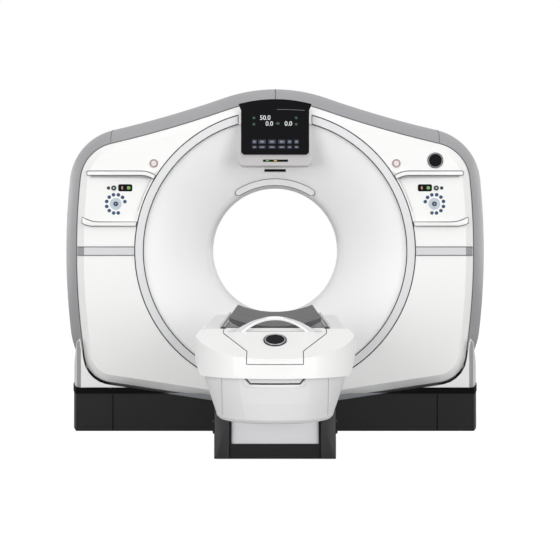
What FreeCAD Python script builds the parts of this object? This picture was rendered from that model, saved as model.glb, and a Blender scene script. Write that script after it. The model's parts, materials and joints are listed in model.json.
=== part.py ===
import FreeCAD, Part
import math
import os
from types import SimpleNamespace
import Sketcher
from FreeCAD import Placement, Rotation, Vector

# A tilting CT scanner: a gantry on a black plinth and a patient table in front of it.
# Millimetres. The origin is on the floor under the isocentre, +Z up, +Y from the table into the bore.
# Heights called rise or drop are counted from the isocentre, all others from the floor.

DRIVING = {
    # the gantry's outline seen from the front, at its widest section
    "iso_height": 940,
    "half_width": 1147,
    "side_radius": 3822,
    "corner_rise": 391,
    "corner_radius": 314,
    "flank_radius": 5914,
    "crest_rise": 888,
    "crest_radius": 850,
    "floor_gap": 36,
    "belly_radius": 2111,
    "belly_slope": 8.6,
    "lower_corner_radius": 260,
    "curl_drop": 440,
    "curl_radius": 400,
    "curl_turn": 12,
    # covers
    "crown_depth": 105,
    "band_half": 425,
    "face_half": 455,
    "bevel_width": 42,
    "cover_wall": 6,
    "ring_outer": 734,
    "ring_inner": 689,
    "ring_groove": 3,
    "ring_proud": 3,
    "ring_lap": 11,
    "funnel_lip_half": 440,
    "funnel_wall": 8,
    "funnel_curve": 738,
    "bend_step": 70.7,
    "bend_rise": 25.7,
    "bend_curve": 110,
    "cover_seam": 0.6,
    # bore
    "bore_radius": 350,
    "liner_wall": 5,
    "throat_start": 150,
    "window_half": 18,
    "crescent_width": 38,
    "crescent_front": 207,
    "crescent_rake": 34,
    "crescent_turn": 70,
    # display
    "display_half": 190,
    "display_waist": 177,
    "display_shoulder": 762,
    "display_neck": 728,
    "display_curve": 720,
    "display_bottom": 499,
    "display_chamfer": 14,
    "chin_bottom": 443,
    "chin_half": 188,
    "display_front": 505,
    "glass_depth": 10,
    "hood_back": 262,
    # control panels and push buttons
    "panel_setback": 162,
    "panel_top": 417,
    "panel_bottom": 128,
    "shelf_height": 23,
    "shelf_proud": 8,
    "panel_recess": 18,
    "panel_wall": 8,
    "panel_arc": 746,
    "dial_offset": 834,
    "dial_rise": 245,
    "dial_button_radius": 12,
    "ring_button_offset": 844,
    "ring_button_rise": 328,
    "ring_button_radius": 13,
    "push_button_offset": 634,
    "push_button_rise": 457,
    "push_button_radius": 22,
    "button_proud": 5,
    "button_gap": 0.3,
    # tilting frame, bearing and rotor
    "frame_front": 150,
    "frame_plate": 40,
    "frame_half": 870,
    "frame_top": 600,
    "frame_drop": 560,
    "frame_bore": 482,
    "frame_outer": 760,
    "arm_start": 745,
    "arm_gap": 5.3,
    "arm_half": 110,
    "trunnion_radius": 45,
    "trunnion_reach": 30,
    "bearing_shell": 20,
    "bearing_outer": 530,
    "bearing_split": 475,
    "bearing_inner": 425,
    "bearing_width": 40,
    "running_gap": 0.3,
    "fit_gap": 0.08,
    "post_radius": 18,
    "post_x": 720,
    "post_rise": 500,
    "post_low_x": 740,
    "post_low_drop": 500,
    "drum_radius": 700,
    "drum_bore": 366,
    "drum_plate": 30,
    "drum_rim": 60,
    "stator_inner": 540,
    "stator_outer": 590,
    "slip_ring_inner": 610,
    "slip_ring_outer": 690,
    "slip_ring_width": 20,
    "tube_radius": 105,
    "tube_length": 250,
    "tube_orbit": 560,
    "detector_radius": 1000,
    "detector_depth": 70,
    "detector_width": 130,
    "detector_turn": 52,
    "generator_inner": 430,
    "generator_outer": 640,
    "generator_low": 130,
    "generator_high": 150,
    "generator_depth": 190,
    "weight_inner": 440,
    "weight_outer": 640,
    "weight_low": 110,
    "weight_high": 130,
    "weight_depth": 160,
    # stationary base
    "swing_gap": 10,
    "outline_gap": 8,
    "leg_line": 282,
    "skirt_gap": 13,
    "base_setback": 110,
    "base_bulge": 58,
    "base_depth_half": 480,
    "plinth_step": 10,
    "floor_plate": 22,
    "plinth_top": 195,
    "seal_top": 227,
    "leg_inner": 640,
    "leg_wall": 8,
    "leg_chamfer": 26,
    "leg_rise_drop": 300,
    "seam_setback": 192,
    "beam_width": 90,
    "pylon_setback": 216.7,
    "pylon_wall": 69.7,
    "pylon_half": 70,
    "pylon_rise": 100,
    "crank_gap": 14,
    "crank_height": 53,
    "foot_reach": 29,
    "foot_wall": 34,
    "slot_gap": 10,
    "motor_radius": 70,
    "motor_length": 60,
    "anchor_radius": 9,
    "anchor_setback": 187,
    "anchor_margin": 140,
    # table
    "table_head": 830,
    "nose_start": 2170,
    "nose_end": 2465,
    "table_half": 325,
    "shoulder_drop": 318,
    "moulding_drop": 497,
    "crest_drop": 421,
    "channel_half": 210,
    "channel_drop": 335,
    "slope_drop": 396,
    "slot_half": 112,
    "slot_drop": 443,
    "cover_skin": 6,
    "boot_drop": 681,
    "boot_half": 275,
    "boot_low_half": 240,
    "boot_corner": 32,
    "boot_start": 1570,
    "cradle_head": 700,
    "cradle_foot": 2160,
    "cradle_half": 188,
    "cradle_rise_drop": 273,
    "cradle_sag": 36,
    "cradle_edge": 14,
    "cradle_core": 35,
    "carriage_half": 95,
    "carriage_length": 100,
    "end_gap": 3,
    "handle_radius": 8,
    "handle_arch": 188,
    "handle_top_drop": 274,
    "handle_foot_drop": 356,
    "rail_half": 5,
    "base_foot": 1515,
    "base_head": 840,
    "table_base_half": 275,
    "post_width": 76,
    "post_height": 212,
    "bar_height": 67,
    "table_plate": 12,
    "shroud_half": 197,
    "shroud_wall": 4,
    "shroud_step": 4.3,
    "stage_top": 250,
    "column_half": 90,
    "column_wall": 8,
    "column_step": 8.3,
    "table_anchor_x": 150,
    "table_anchor_margin": 47.5,
    "duct_half": 120,
    "duct_height": 30,
}

doc = FreeCAD.newDocument("ct_scanner")
sheet = doc.addObject("Spreadsheet::Sheet", "Sizes")


class Size:
    """A length together with the spreadsheet expression that gives it."""

    def __init__(self, value, text=None):
        self.value = float(value)
        self.text = text or "(%r)" % self.value

    def __float__(self):
        return self.value

    def __neg__(self):
        return Size(-self.value, "(-%s)" % self.text)

    def __add__(self, other):
        return joined(self, "+", other, self.value + float(other))

    def __radd__(self, other):
        return size(other) + self

    def __sub__(self, other):
        return joined(self, "-", other, self.value - float(other))

    def __rsub__(self, other):
        return size(other) - self

    def __mul__(self, other):
        return joined(self, "*", other, self.value * float(other))

    def __rmul__(self, other):
        return size(other) * self

    def __truediv__(self, other):
        return joined(self, "/", other, self.value / float(other))


def size(value):
    return value if isinstance(value, Size) else Size(value)


def joined(left, sign, right, value):
    return Size(value, "(%s %s %s)" % (size(left).text, sign, size(right).text))


def fill_sheet():
    """Writes each driving dimension beside its name and makes the name its alias."""
    for row, (name, value) in enumerate(DRIVING.items(), start=1):
        sheet.set("A%d" % row, name)
        sheet.set("B%d" % row, str(value))
        sheet.setAlias("B%d" % row, name)
    doc.recompute()
    return SimpleNamespace(**{name: Size(value, "Sizes." + name) for name, value in DRIVING.items()})


D = fill_sheet()
ISO = D.iso_height
NODES = []

# Sizes that follow from the driving ones
D.belly_drop = ISO - D.floor_gap
D.bend_depth = D.throat_start + D.bend_step
D.bend_radius = D.bore_radius + D.bend_rise
D.base_half = D.half_width - D.base_setback
D.panel_edge = D.half_width - D.panel_setback
D.side_swing = ISO - D.leg_line
D.side_end_radius = D.side_swing - D.skirt_gap
D.crank_top = D.leg_line - D.crank_gap
D.crank_low = D.crank_top - D.crank_height
D.foot_outer = D.base_half + D.foot_reach
D.foot_inner = D.foot_outer - D.foot_wall
D.pylon_inner = D.half_width - D.pylon_setback
D.pylon_outer = D.pylon_inner + D.pylon_wall
D.arm_end = D.pylon_inner - D.arm_gap
D.trunnion_end = D.pylon_outer + D.trunnion_reach
D.corner_seam = D.base_half - D.seam_setback
D.anchor_x = D.base_half - D.anchor_setback
D.anchor_y = D.base_depth_half - D.anchor_margin
D.table_anchor_y = (D.base_foot - D.base_head) / 2 - D.table_anchor_margin

ALONG_X = Rotation(Vector(0, 1, 0), 90)
ALONG_Y = Rotation(Vector(1, 0, 0), -90)
ALONG_Z = Rotation()


# Small building functions

def bind(item, prop, value):
    item.setExpression(prop, size(value).text)


def place(item, x, y, z, rotation=ALONG_Z):
    item.Placement = Placement(Vector(float(x), float(y), float(z)), rotation)
    bind(item, "Placement.Base.x", x)
    bind(item, "Placement.Base.y", y)
    bind(item, "Placement.Base.z", z)
    return item


def node(label, item):
    """Names a finished sub-part and keeps it for the output."""
    item.Label = label
    NODES.append(item)
    return item


def block(name, x, y, z):
    """A box between the low and the high end given for each axis."""
    item = doc.addObject("Part::Box", name)
    bind(item, "Length", size(x[1]) - x[0])
    bind(item, "Width", size(y[1]) - y[0])
    bind(item, "Height", size(z[1]) - z[0])
    return place(item, x[0], y[0], z[0])


def rod(name, turn, radius, start, end, across, up):
    """A cylinder along one axis from start to end; across and up place its axis."""
    item = doc.addObject("Part::Cylinder", name)
    bind(item, "Radius", radius)
    bind(item, "Height", size(end) - start)
    if turn is ALONG_X:
        return place(item, start, across, up, turn)
    if turn is ALONG_Y:
        return place(item, across, start, up, turn)
    return place(item, across, up, start, turn)


def fuse(name, *items):
    result = doc.addObject("Part::MultiFuse", name)
    result.Shapes = list(items)
    return result


def cut(name, base, *tools):
    tool = tools[0] if len(tools) == 1 else fuse(name + "_tools", *tools)
    result = doc.addObject("Part::Cut", name)
    result.Base = base
    result.Tool = tool
    return result


def mirrored(name, source):
    """The copy of a piece on the other side of the middle plane."""
    result = doc.addObject("Part::Mirroring", name)
    result.Source = source
    result.Normal = Vector(1, 0, 0)
    return result


def shaped(name, shape, up=ISO):
    """A piece whose shape is worked out here, raised to the isocentre."""
    item = doc.addObject("Part::Feature", name)
    item.Shape = shape
    return place(item, 0, 0, up)


def origin_plane(body, role):
    return [plane for plane in body.Origin.OriginFeatures if plane.Role == role][0]


def new_sketch(body, role, offset=0):
    sketch = body.newObject("Sketcher::SketchObject", body.Name + "_sketch")
    sketch.AttachmentSupport = [(origin_plane(body, role), "")]
    sketch.MapMode = "FlatFace"
    bind(sketch, "AttachmentOffset.Base.z", offset)
    return sketch


def pin_point(sketch, index, end, x, y):
    """Ties one end of a sketch line to two sizes."""
    key = sketch.addConstraint(Sketcher.Constraint("DistanceX", -1, 1, index, end, float(x)))
    sketch.setExpression("Constraints[%d]" % key, size(x).text)
    key = sketch.addConstraint(Sketcher.Constraint("DistanceY", -1, 1, index, end, float(y)))
    sketch.setExpression("Constraints[%d]" % key, size(y).text)


def arc_centre(start, end, radius):
    """Centre of an arc between two corners that bulges to the left of the way when radius is positive."""
    way = end - start
    left = Vector(-way.y, way.x, 0) / way.Length
    depth = math.sqrt(float(radius) ** 2 - way.Length ** 2 / 4)
    return (start + end) / 2 - left * (depth if float(radius) > 0 else -depth)


def polygon(sketch, points):
    """A closed outline, each corner tied to two sizes; a third value rounds the side after its corner."""
    count = len(points)
    corners = [Vector(float(point[0]), float(point[1]), 0) for point in points]
    ends = []
    for index in range(count):
        start = corners[index]
        end = corners[(index + 1) % count]
        if len(points[index]) < 3:
            sketch.addGeometry(Part.LineSegment(start, end))
            ends.append((1, 2))
            continue
        radius = points[index][2]
        centre = arc_centre(start, end, radius)
        full = Part.Circle(centre, Vector(0, 0, 1), abs(float(radius)))
        first, last = full.parameter(start), full.parameter(end)
        onward = (last - first) % (2 * math.pi) < math.pi
        sketch.addGeometry(Part.ArcOfCircle(full, *((first, last) if onward else (last, first))))
        ends.append((1, 2) if onward else (2, 1))
    for index in range(count):
        after = (index + 1) % count
        sketch.addConstraint(Sketcher.Constraint("Coincident", index, ends[index][1], after, ends[after][0]))
    for index in range(count):
        pin_point(sketch, index, ends[index][0], points[index][0], points[index][1])
        if len(points[index]) == 3:
            radius = points[index][2] if float(points[index][2]) > 0 else -points[index][2]
            key = sketch.addConstraint(Sketcher.Constraint("Radius", index, float(radius)))
            sketch.setExpression("Constraints[%d]" % key, size(radius).text)


def circle(sketch, radius):
    """A circle round the sketch's origin."""
    index = sketch.addGeometry(Part.Circle(Vector(), Vector(0, 0, 1), float(radius)))
    sketch.addConstraint(Sketcher.Constraint("Coincident", index, 3, -1, 1))
    key = sketch.addConstraint(Sketcher.Constraint("Radius", index, float(radius)))
    sketch.setExpression("Constraints[%d]" % key, size(radius).text)


def turned(name, points, angle=360):
    """A body turned about the bore's axis from a section of (y, radius) corners."""
    body = doc.addObject("PartDesign::Body", name)
    sketch = new_sketch(body, "YZ_Plane")
    polygon(sketch, points)
    turn = body.newObject("PartDesign::Revolution", name + "_turn")
    turn.Profile = sketch
    turn.ReferenceAxis = (sketch, ["H_Axis"])
    bind(turn, "Angle", angle)
    place(body, 0, 0, ISO)
    return body


def annulus(name, outer, inner, start, width):
    """A flat ring round the bore's axis, from y = start, padded towards +Y."""
    body = doc.addObject("PartDesign::Body", name)
    sketch = new_sketch(body, "XZ_Plane", -size(start))
    circle(sketch, outer)
    circle(sketch, inner)
    pad = body.newObject("PartDesign::Pad", name + "_pad")
    pad.Profile = sketch
    pad.Reversed = True
    bind(pad, "Length", width)
    place(body, 0, 0, ISO)
    return body


def upright(name, points, low, height):
    """A body padded upwards from a plan outline."""
    body = doc.addObject("PartDesign::Body", name)
    sketch = new_sketch(body, "XY_Plane", low)
    polygon(sketch, points)
    pad = body.newObject("PartDesign::Pad", name + "_pad")
    pad.Profile = sketch
    bind(pad, "Length", height)
    return body


def profiled(name, points, start, length):
    """A body padded along +Y from a section in the plane of X and Z."""
    body = doc.addObject("PartDesign::Body", name)
    sketch = new_sketch(body, "XZ_Plane", -size(start))
    polygon(sketch, points)
    pad = body.newObject("PartDesign::Pad", name + "_pad")
    pad.Profile = sketch
    pad.Reversed = True
    bind(pad, "Length", length)
    return body


# The gantry's outline: arcs that run into each other, the right half seen from the front

def polar(radius, angle):
    return Vector(radius * math.cos(angle), 0, radius * math.sin(angle))


def unit(vector):
    return vector / vector.Length


def meet(first, first_radius, second, second_radius):
    """The upper point at the given distances from two centres."""
    gap = second - first
    along = (first_radius ** 2 - second_radius ** 2 + gap.Length ** 2) / (2 * gap.Length)
    aside = math.sqrt(first_radius ** 2 - along ** 2)
    direction = unit(gap)
    return first + direction * along + Vector(-direction.z, 0, direction.x) * aside


def outline_centres():
    """Centres and joining directions of the outline's arcs, seen from the isocentre."""
    side = float(D.side_radius)
    corner = float(D.corner_radius)
    low_corner = float(D.lower_corner_radius)
    turn = math.asin(float(D.corner_rise) / side)
    slope = math.radians(float(D.belly_slope))
    k = SimpleNamespace()
    k.side = Vector(float(D.half_width) - side, 0, 0)
    k.corner = k.side + polar(side - corner, turn)
    k.crest = Vector(0, 0, float(D.crest_rise) - float(D.crest_radius))
    flank = float(D.flank_radius)
    k.flank = meet(k.crest, float(D.crest_radius) + flank, k.corner, corner + flank)
    k.to_flank = unit(k.flank - k.crest)
    k.corner_start = unit(k.flank - k.corner)
    k.side_start = polar(1, turn)
    k.belly = Vector(0, 0, float(D.belly_radius) - float(D.belly_drop))
    k.down = Vector(math.sin(slope), 0, -math.cos(slope))
    along = Vector(math.cos(slope), 0, math.sin(slope))
    reach = k.down.dot(k.belly) + float(D.belly_radius) - low_corner
    foot = k.down * reach - k.side
    half = foot.dot(along)
    travel = -half + math.sqrt(half ** 2 - foot.Length ** 2 + (side - low_corner) ** 2)
    k.low_corner = k.down * reach + along * travel
    k.low_start = unit(k.low_corner - k.side)
    return k


K = outline_centres()


def arc(centre, radius, start, end):
    """An arc round a centre between two directions."""
    middle = unit(start + end)
    return Part.Arc(centre + start * radius, centre + middle * radius, centre + end * radius).toShape()


def right_edges(inset):
    """The right half of the outline from the crest to the lowest point, moved inwards by inset."""
    flank = float(D.flank_radius) + inset
    belly = float(D.belly_radius) - inset
    low = float(D.lower_corner_radius) - inset
    edges = [
        arc(K.crest, float(D.crest_radius) - inset, Vector(0, 0, 1), K.to_flank),
        arc(K.flank, flank, K.to_flank * -1, K.corner_start * -1),
        arc(K.corner, float(D.corner_radius) - inset, K.corner_start, K.side_start),
        arc(K.side, float(D.side_radius) - inset, K.side_start, K.low_start),
        arc(K.low_corner, low, K.low_start, K.down),
    ]
    edges.append(Part.LineSegment(K.low_corner + K.down * low, K.belly + K.down * belly).toShape())
    edges.append(arc(K.belly, belly, K.down, Vector(0, 0, -1)))
    return edges


def closed_outline(inset, y):
    """The whole outline as a closed wire in the plane at y."""
    right = right_edges(inset)
    left = [edge.mirror(Vector(), Vector(1, 0, 0)) for edge in right]
    wire = Part.Wire(Part.__sortEdges__(right + left))
    wire.translate(Vector(0, y, 0))
    return wire


def rim_drop(x):
    """How far below the isocentre the cover's rim lies at a given distance from the middle."""
    line = Part.LineSegment(Vector(x, 0, -150), Vector(x, 0, -2000)).toShape()
    edges = [edge for edge in right_edges(float(D.crown_depth)) if edge.distToShape(line)[0] < 0.01]
    return -min(edge.distToShape(line)[1][0][0].z for edge in edges)


def crown_section(start, outward, wall):
    """The crowned strip's section at a point of its path."""
    half = float(D.band_half)
    crown = float(D.crown_depth)
    outer = [start + outward * -crown, start, start + outward * -crown]
    inner = [point - outward * wall for point in outer]
    for points in (outer, inner):
        points[0] = points[0] + Vector(0, -half, 0)
        points[2] = points[2] + Vector(0, half, 0)
    return Part.Face(Part.Wire([
        Part.Arc(*outer).toShape(),
        Part.LineSegment(outer[2], inner[2]).toShape(),
        Part.Arc(*reversed(inner)).toShape(),
        Part.LineSegment(inner[0], outer[0]).toShape(),
    ]))


def crowned_band(path, outward, wall):
    """A crowned strip along a path of arcs and lines; outward is the path's normal at its start."""
    ends = [vertex.Point for vertex in path[0].Vertexes]
    if len(path) > 1:
        following = [vertex.Point for vertex in path[1].Vertexes]
        ends.sort(key=lambda point: -min((point - other).Length for other in following))
    start = ends[0]
    pieces = []
    for edge in path:
        near, far = sorted((vertex.Point for vertex in edge.Vertexes), key=lambda point: (point - start).Length)
        section = crown_section(near, outward, wall)
        if isinstance(edge.Curve, Part.Circle):
            centre = edge.Curve.Center
            first = near - centre
            last = far - centre
            turn = math.atan2(first.z * last.x - first.x * last.z, first.x * last.x + first.z * last.z)
            pieces.append(section.revolve(centre, Vector(0, 1, 0), math.degrees(turn)))
            side = 1 if outward.dot(first) > 0 else -1
            outward = unit(last) * side
        else:
            pieces.append(section.extrude(far - near))
        start = far
    whole = pieces[0] if len(pieces) == 1 else pieces[0].fuse(pieces[1:]).removeSplitter()
    return whole.Solids[0]


def top_cover_path():
    return right_edges(0)[:2]


def side_cover_path():
    """Round the corner, down the side, into the curl and straight on behind the leg cover."""
    drop = math.asin(float(D.curl_drop) / float(D.side_radius))
    low = polar(1, -drop)
    curl = K.side + low * (float(D.side_radius) - float(D.curl_radius))
    turn = -drop - math.radians(float(D.curl_turn))
    end = polar(1, turn)
    corner = curl + end * float(D.curl_radius)
    skirt = polar(float(D.side_end_radius) * 0.35, turn - math.pi / 2)
    return [
        right_edges(0)[2],
        arc(K.side, float(D.side_radius), K.side_start, low),
        arc(curl, float(D.curl_radius), low, end),
        Part.LineSegment(corner, corner + skirt).toShape(),
    ]


def belly_path():
    """Along the underside between the two lower corners."""
    half = right_edges(0)[5:]
    other = [edge.mirror(Vector(), Vector(1, 0, 0)) for edge in half]
    return Part.__sortEdges__(half + other)


def make_band():
    wall = float(D.cover_wall)
    right = shaped("top_cover_half", crowned_band(top_cover_path(), Vector(0, 0, 1), wall))
    left = mirrored("top_cover_mirror", right)
    tops = doc.addObject("Part::Compound", "top_covers")
    tops.Links = [right, left]
    node("top_covers", tops)
    strip = crowned_band(side_cover_path(), K.corner_start, wall)
    reach = float(D.half_width)
    round_end = Part.makeCylinder(float(D.side_end_radius), reach, Vector(), Vector(1, 0, 0))
    above = Part.makeBox(reach, reach * 2, reach, Vector(0, -reach, 0))
    strip = strip.common(round_end.fuse(above))
    side = shaped("side_cover_right", strip)
    node("side_cover_right", side)
    node("side_cover_left", mirrored("side_cover_left", side))
    path = belly_path()
    outward = K.down if path[0].Vertexes[0].Point.x > 0 else Vector(-K.down.x, 0, K.down.z)
    node("belly_cover", shaped("belly_cover", crowned_band(path, outward, wall)))


def cover_pan(sign):
    """A front or rear pan: rim at the band, bevel, and the flat face."""
    crown = float(D.crown_depth)
    bevel = float(D.bevel_width)
    wall = float(D.cover_wall)
    rim = sign * float(D.band_half)
    face = sign * float(D.face_half)
    outer = Part.makeLoft([closed_outline(crown, rim), closed_outline(crown + bevel, face)], True, True)
    back = face - sign * wall
    inner = Part.makeLoft([closed_outline(crown + wall, rim), closed_outline(crown + bevel + wall / 2, back)], True, True)
    return outer.cut(inner)


def span(side, inner, outer):
    """The low and high end along X of what lies between two distances on one side."""
    return (inner, outer) if side > 0 else (-outer, -inner)


def along_bore(name, radius, start, end):
    return rod(name, ALONG_Y, radius, start, end, 0, ISO)


def panel_window(side):
    """The opening in the front cover that one control panel fills."""
    across = span(side, D.panel_arc * 0.5, D.panel_edge)
    height = (ISO + D.panel_bottom, ISO + D.panel_top)
    region = block("panel_region", across, (-D.face_half - 5, -D.band_half), height)
    keep = along_bore("panel_arc_tool", D.panel_arc, -D.face_half - 10, -D.band_half + 5)
    return cut("panel_window", region, keep)


def push_button_hole(side, start, end):
    radius = D.push_button_radius + D.button_gap
    return rod("push_hole", ALONG_Y, radius, start, end, side * D.push_button_offset, ISO + D.push_button_rise)


def make_front_cover():
    """The front cover: an upper and a lower half that meet at the isocentre's height."""
    pan = shaped("front_pan", cover_pan(-1))
    mouth = along_bore("front_mouth", D.ring_outer + 2, -D.face_half - 5, -D.band_half + 30)
    tools = [mouth, panel_window(-1), panel_window(1)]
    tools += [push_button_hole(side, -D.face_half - 5, -D.band_half) for side in (-1, 1)]
    seam = D.cover_seam / 2
    tools.append(block("front_seam", (-D.half_width, D.half_width), (-D.face_half - 5, -D.band_half + 1),
                       (ISO - seam, ISO + seam)))
    return node("front_cover", cut("front_cover", pan, *tools))


def make_rear_cover():
    pan = shaped("rear_pan", cover_pan(1))
    mouth = along_bore("rear_mouth", D.ring_inner, D.band_half - 30, D.face_half + 5)
    node("rear_cover", cut("rear_cover", pan, mouth))


def funnel_points(sign, lip, lip_radius):
    """Section of a funnel: a wide bell that bends into the bore, with a flange behind its lip."""
    wall = D.funnel_wall
    mouth = D.funnel_lip_half
    points = [
        (mouth, D.ring_inner, D.funnel_curve * sign),
        (D.bend_depth, D.bend_radius, D.bend_curve * sign),
        (D.throat_start, D.bore_radius),
        (D.throat_start, D.bore_radius + wall, (wall - D.bend_curve) * sign),
        (D.bend_depth - wall * 0.643, D.bend_radius + wall * 0.766, (wall - D.funnel_curve) * sign),
        (mouth - wall, D.ring_inner + wall * 0.32),
        (mouth - wall, lip_radius),
        (lip, lip_radius),
    ]
    if sign > 0:
        points.append((lip, D.ring_inner))
    return [(sign * point[0],) + point[1:] for point in points]


def make_ring_and_funnels(front_cover):
    back = D.face_half - D.cover_wall
    ring = turned("ring_body", [
        (-D.face_half - D.ring_proud, D.ring_inner + D.ring_groove),
        (-D.face_half - D.ring_proud, D.ring_outer - D.ring_groove),
        (-back, D.ring_outer - D.ring_groove),
        (-back, D.ring_outer + D.ring_lap),
        (-D.funnel_lip_half, D.ring_outer + D.ring_lap),
        (-D.funnel_lip_half, D.ring_inner),
        (-back, D.ring_inner),
        (-back, D.ring_inner + D.ring_groove),
    ])
    node("front_ring", cut("front_ring", ring, front_cover))
    funnel = turned("front_funnel", funnel_points(-1, D.funnel_lip_half, D.ring_inner + D.ring_lap))
    node("front_funnel", funnel)
    node("rear_funnel", turned("rear_funnel", funnel_points(1, back, D.ring_inner + D.ring_lap)))
    liners = doc.addObject("Part::Compound", "bore_liners")
    outer = D.bore_radius + D.liner_wall
    length = D.throat_start - D.window_half
    liners.Links = [
        annulus("front_liner", outer, D.bore_radius, -D.throat_start, length),
        annulus("rear_liner", outer, D.bore_radius, D.window_half, length),
    ]
    node("bore_liners", liners)
    window = annulus("scan_window", outer - 1, D.bore_radius, -D.window_half, D.window_half * 2)
    node("scan_window", window)
    return funnel


def make_crescent(funnel):
    """The trim over the top of the bore, its back let into the funnel's bell."""
    inside = D.funnel_wall / 2
    high = D.bore_radius + D.crescent_width
    trim = turned("crescent_bar", [
        (-D.crescent_front, D.bore_radius + 1),
        (-D.crescent_front - D.crescent_rake, high),
        (-D.bend_depth - 10, high + 2),
        (-D.bend_depth + inside * 0.65, D.bend_radius + inside * 0.75),
        (-D.throat_start - 38.5, D.bore_radius + 7.5 + inside * 0.93),
        (-D.throat_start - 2, D.bore_radius + inside),
        (-D.throat_start - 2, D.bore_radius + 1),
    ], D.crescent_turn)
    turn = Rotation(Vector(0, 1, 0), -float(D.crescent_turn) / 2)
    place(trim, 0, 0, ISO, turn)
    node("bore_trim", cut("bore_trim", trim, funnel))


def make_display():
    """The display over the bore: a hood with a chin, and the dark glass on its front."""
    front = -D.display_front
    chin_front = front + D.glass_depth
    waist = D.display_waist
    shoulder = ISO + D.display_shoulder
    neck = ISO + D.display_neck
    low = ISO + D.display_bottom
    chamfer = D.display_chamfer
    glass = profiled("display_glass", [
        (-D.display_half, shoulder, D.display_curve),
        (D.display_half, shoulder),
        (waist, neck),
        (waist, low + chamfer),
        (waist - chamfer, low),
        (chamfer - waist, low),
        (-waist, low + chamfer),
        (-waist, neck),
    ], front, D.glass_depth)
    node("display_glass", glass)
    chin = D.chin_half
    base = ISO + D.chin_bottom
    hood = profiled("hood", [
        (-D.display_half, shoulder, D.display_curve),
        (D.display_half, shoulder),
        (waist, neck),
        (waist, low + chamfer),
        (chin, low),
        (chin, base + chamfer),
        (chin - chamfer, base),
        (chamfer - chin, base),
        (-chin, base + chamfer),
        (-chin, low),
        (-waist, low + chamfer),
        (-waist, neck),
    ], chin_front, D.display_front - D.glass_depth - D.hood_back)
    proud = -D.face_half - D.ring_proud
    behind = turned("hood_seat", [
        (proud, D.half_width),
        (proud, D.ring_inner),
        (-D.funnel_lip_half, D.ring_inner, -D.funnel_curve),
        (-D.bend_depth, D.bend_radius),
        (0, D.bend_radius),
        (0, D.half_width),
    ])
    node("display_housing", cut("display_housing", hood, behind))


def panel_floor(x):
    """Depth of the panel's sloping floor at a distance x from the middle."""
    width = D.panel_edge - D.panel_arc * 0.85
    return -D.face_half + D.panel_recess * ((D.panel_edge - x) / width)


def make_panel_left():
    inner = D.panel_arc * 0.82
    lip = -D.face_half - D.shelf_proud
    edge = -D.panel_edge
    low = ISO + D.panel_bottom
    floor_start = panel_floor(D.panel_edge)
    floor_end = panel_floor(inner)
    floor_plan = [
        (edge, floor_start),
        (-inner, floor_end),
        (-inner, floor_end + D.panel_wall),
        (edge, floor_start + D.panel_wall),
    ]
    shelf_plan = [
        (edge, floor_start),
        (edge + 25, lip),
        (-inner, lip),
        (-inner, floor_end + D.panel_wall),
        (edge, floor_start + D.panel_wall),
    ]
    height = D.panel_top - D.panel_bottom
    plate = upright("panel_plate", floor_plan, low, height)
    shelf_low = upright("panel_shelf_low", shelf_plan, low, D.shelf_height)
    shelf_top = upright("panel_shelf_top", shelf_plan, ISO + D.panel_top - D.shelf_height, D.shelf_height)
    body = fuse("panel_body", plate, shelf_low, shelf_top)
    arc_tool = along_bore("panel_ring_tool", D.panel_arc, -D.face_half - 20, 0)
    dial = rod("dial_hole", ALONG_Y, D.dial_button_radius + D.button_gap, -D.face_half - 20, 0,
               -D.dial_offset, ISO + D.dial_rise)
    ring = rod("ring_hole", ALONG_Y, D.ring_button_radius + D.button_gap, -D.face_half - 20, 0,
               -D.ring_button_offset, ISO + D.ring_button_rise)
    return cut("panel_left", body, arc_tool, dial, ring)


def button(name, side, radius, offset, rise, face):
    """A round button through its panel, proud of the face."""
    back = face + D.panel_wall + 4
    return rod(name, ALONG_Y, radius, face - D.button_proud, back, side * offset, ISO + rise)


def make_panels_and_buttons():
    left = node("panel_left", make_panel_left())
    node("panel_right", mirrored("panel_right", left))
    for side, word in ((-1, "left"), (1, "right")):
        face = -D.face_half
        node("push_button_" + word, button("push_button_" + word, side, D.push_button_radius,
                                           D.push_button_offset, D.push_button_rise, face))
        face = panel_floor(D.dial_offset)
        node("dial_button_" + word, button("dial_button_" + word, side, D.dial_button_radius,
                                           D.dial_offset, D.dial_rise, face))
        face = panel_floor(D.ring_button_offset)
        node("ring_button_" + word, button("ring_button_" + word, side, D.ring_button_radius,
                                           D.ring_button_offset, D.ring_button_rise, face))


# The tilting frame, its bearing and what turns on it

def make_tilt_frame():
    """A steel plate behind the drum, with arms to the trunnions and posts to the covers."""
    back = D.frame_front + D.frame_plate
    plate = block("frame_plate_box", (-D.frame_half, D.frame_half), (D.frame_front, back),
                  (ISO - D.frame_drop, ISO + D.frame_top))
    parts = [plate]
    arm_height = (ISO - D.arm_half, ISO + D.arm_half)
    parts.append(block("arm_right", (D.arm_start, D.arm_end), (-D.pylon_half, back), arm_height))
    parts.append(block("arm_left", (-D.arm_end, -D.arm_start), (-D.pylon_half, back), arm_height))
    reach = D.face_half - D.cover_wall
    for side in (-1, 1):
        high = ISO + D.post_rise
        low = ISO - D.post_low_drop
        parts.append(rod("post_high", ALONG_Y, D.post_radius, -reach, reach, side * D.post_x, high))
        parts.append(rod("post_low", ALONG_Y, D.post_radius, -reach, reach, side * D.post_low_x, low))
    hole = along_bore("frame_hole", D.frame_bore, D.frame_front - 5, back + 5)
    node("tilt_frame", cut("tilt_frame", fuse("frame_parts", *parts), hole))


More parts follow.
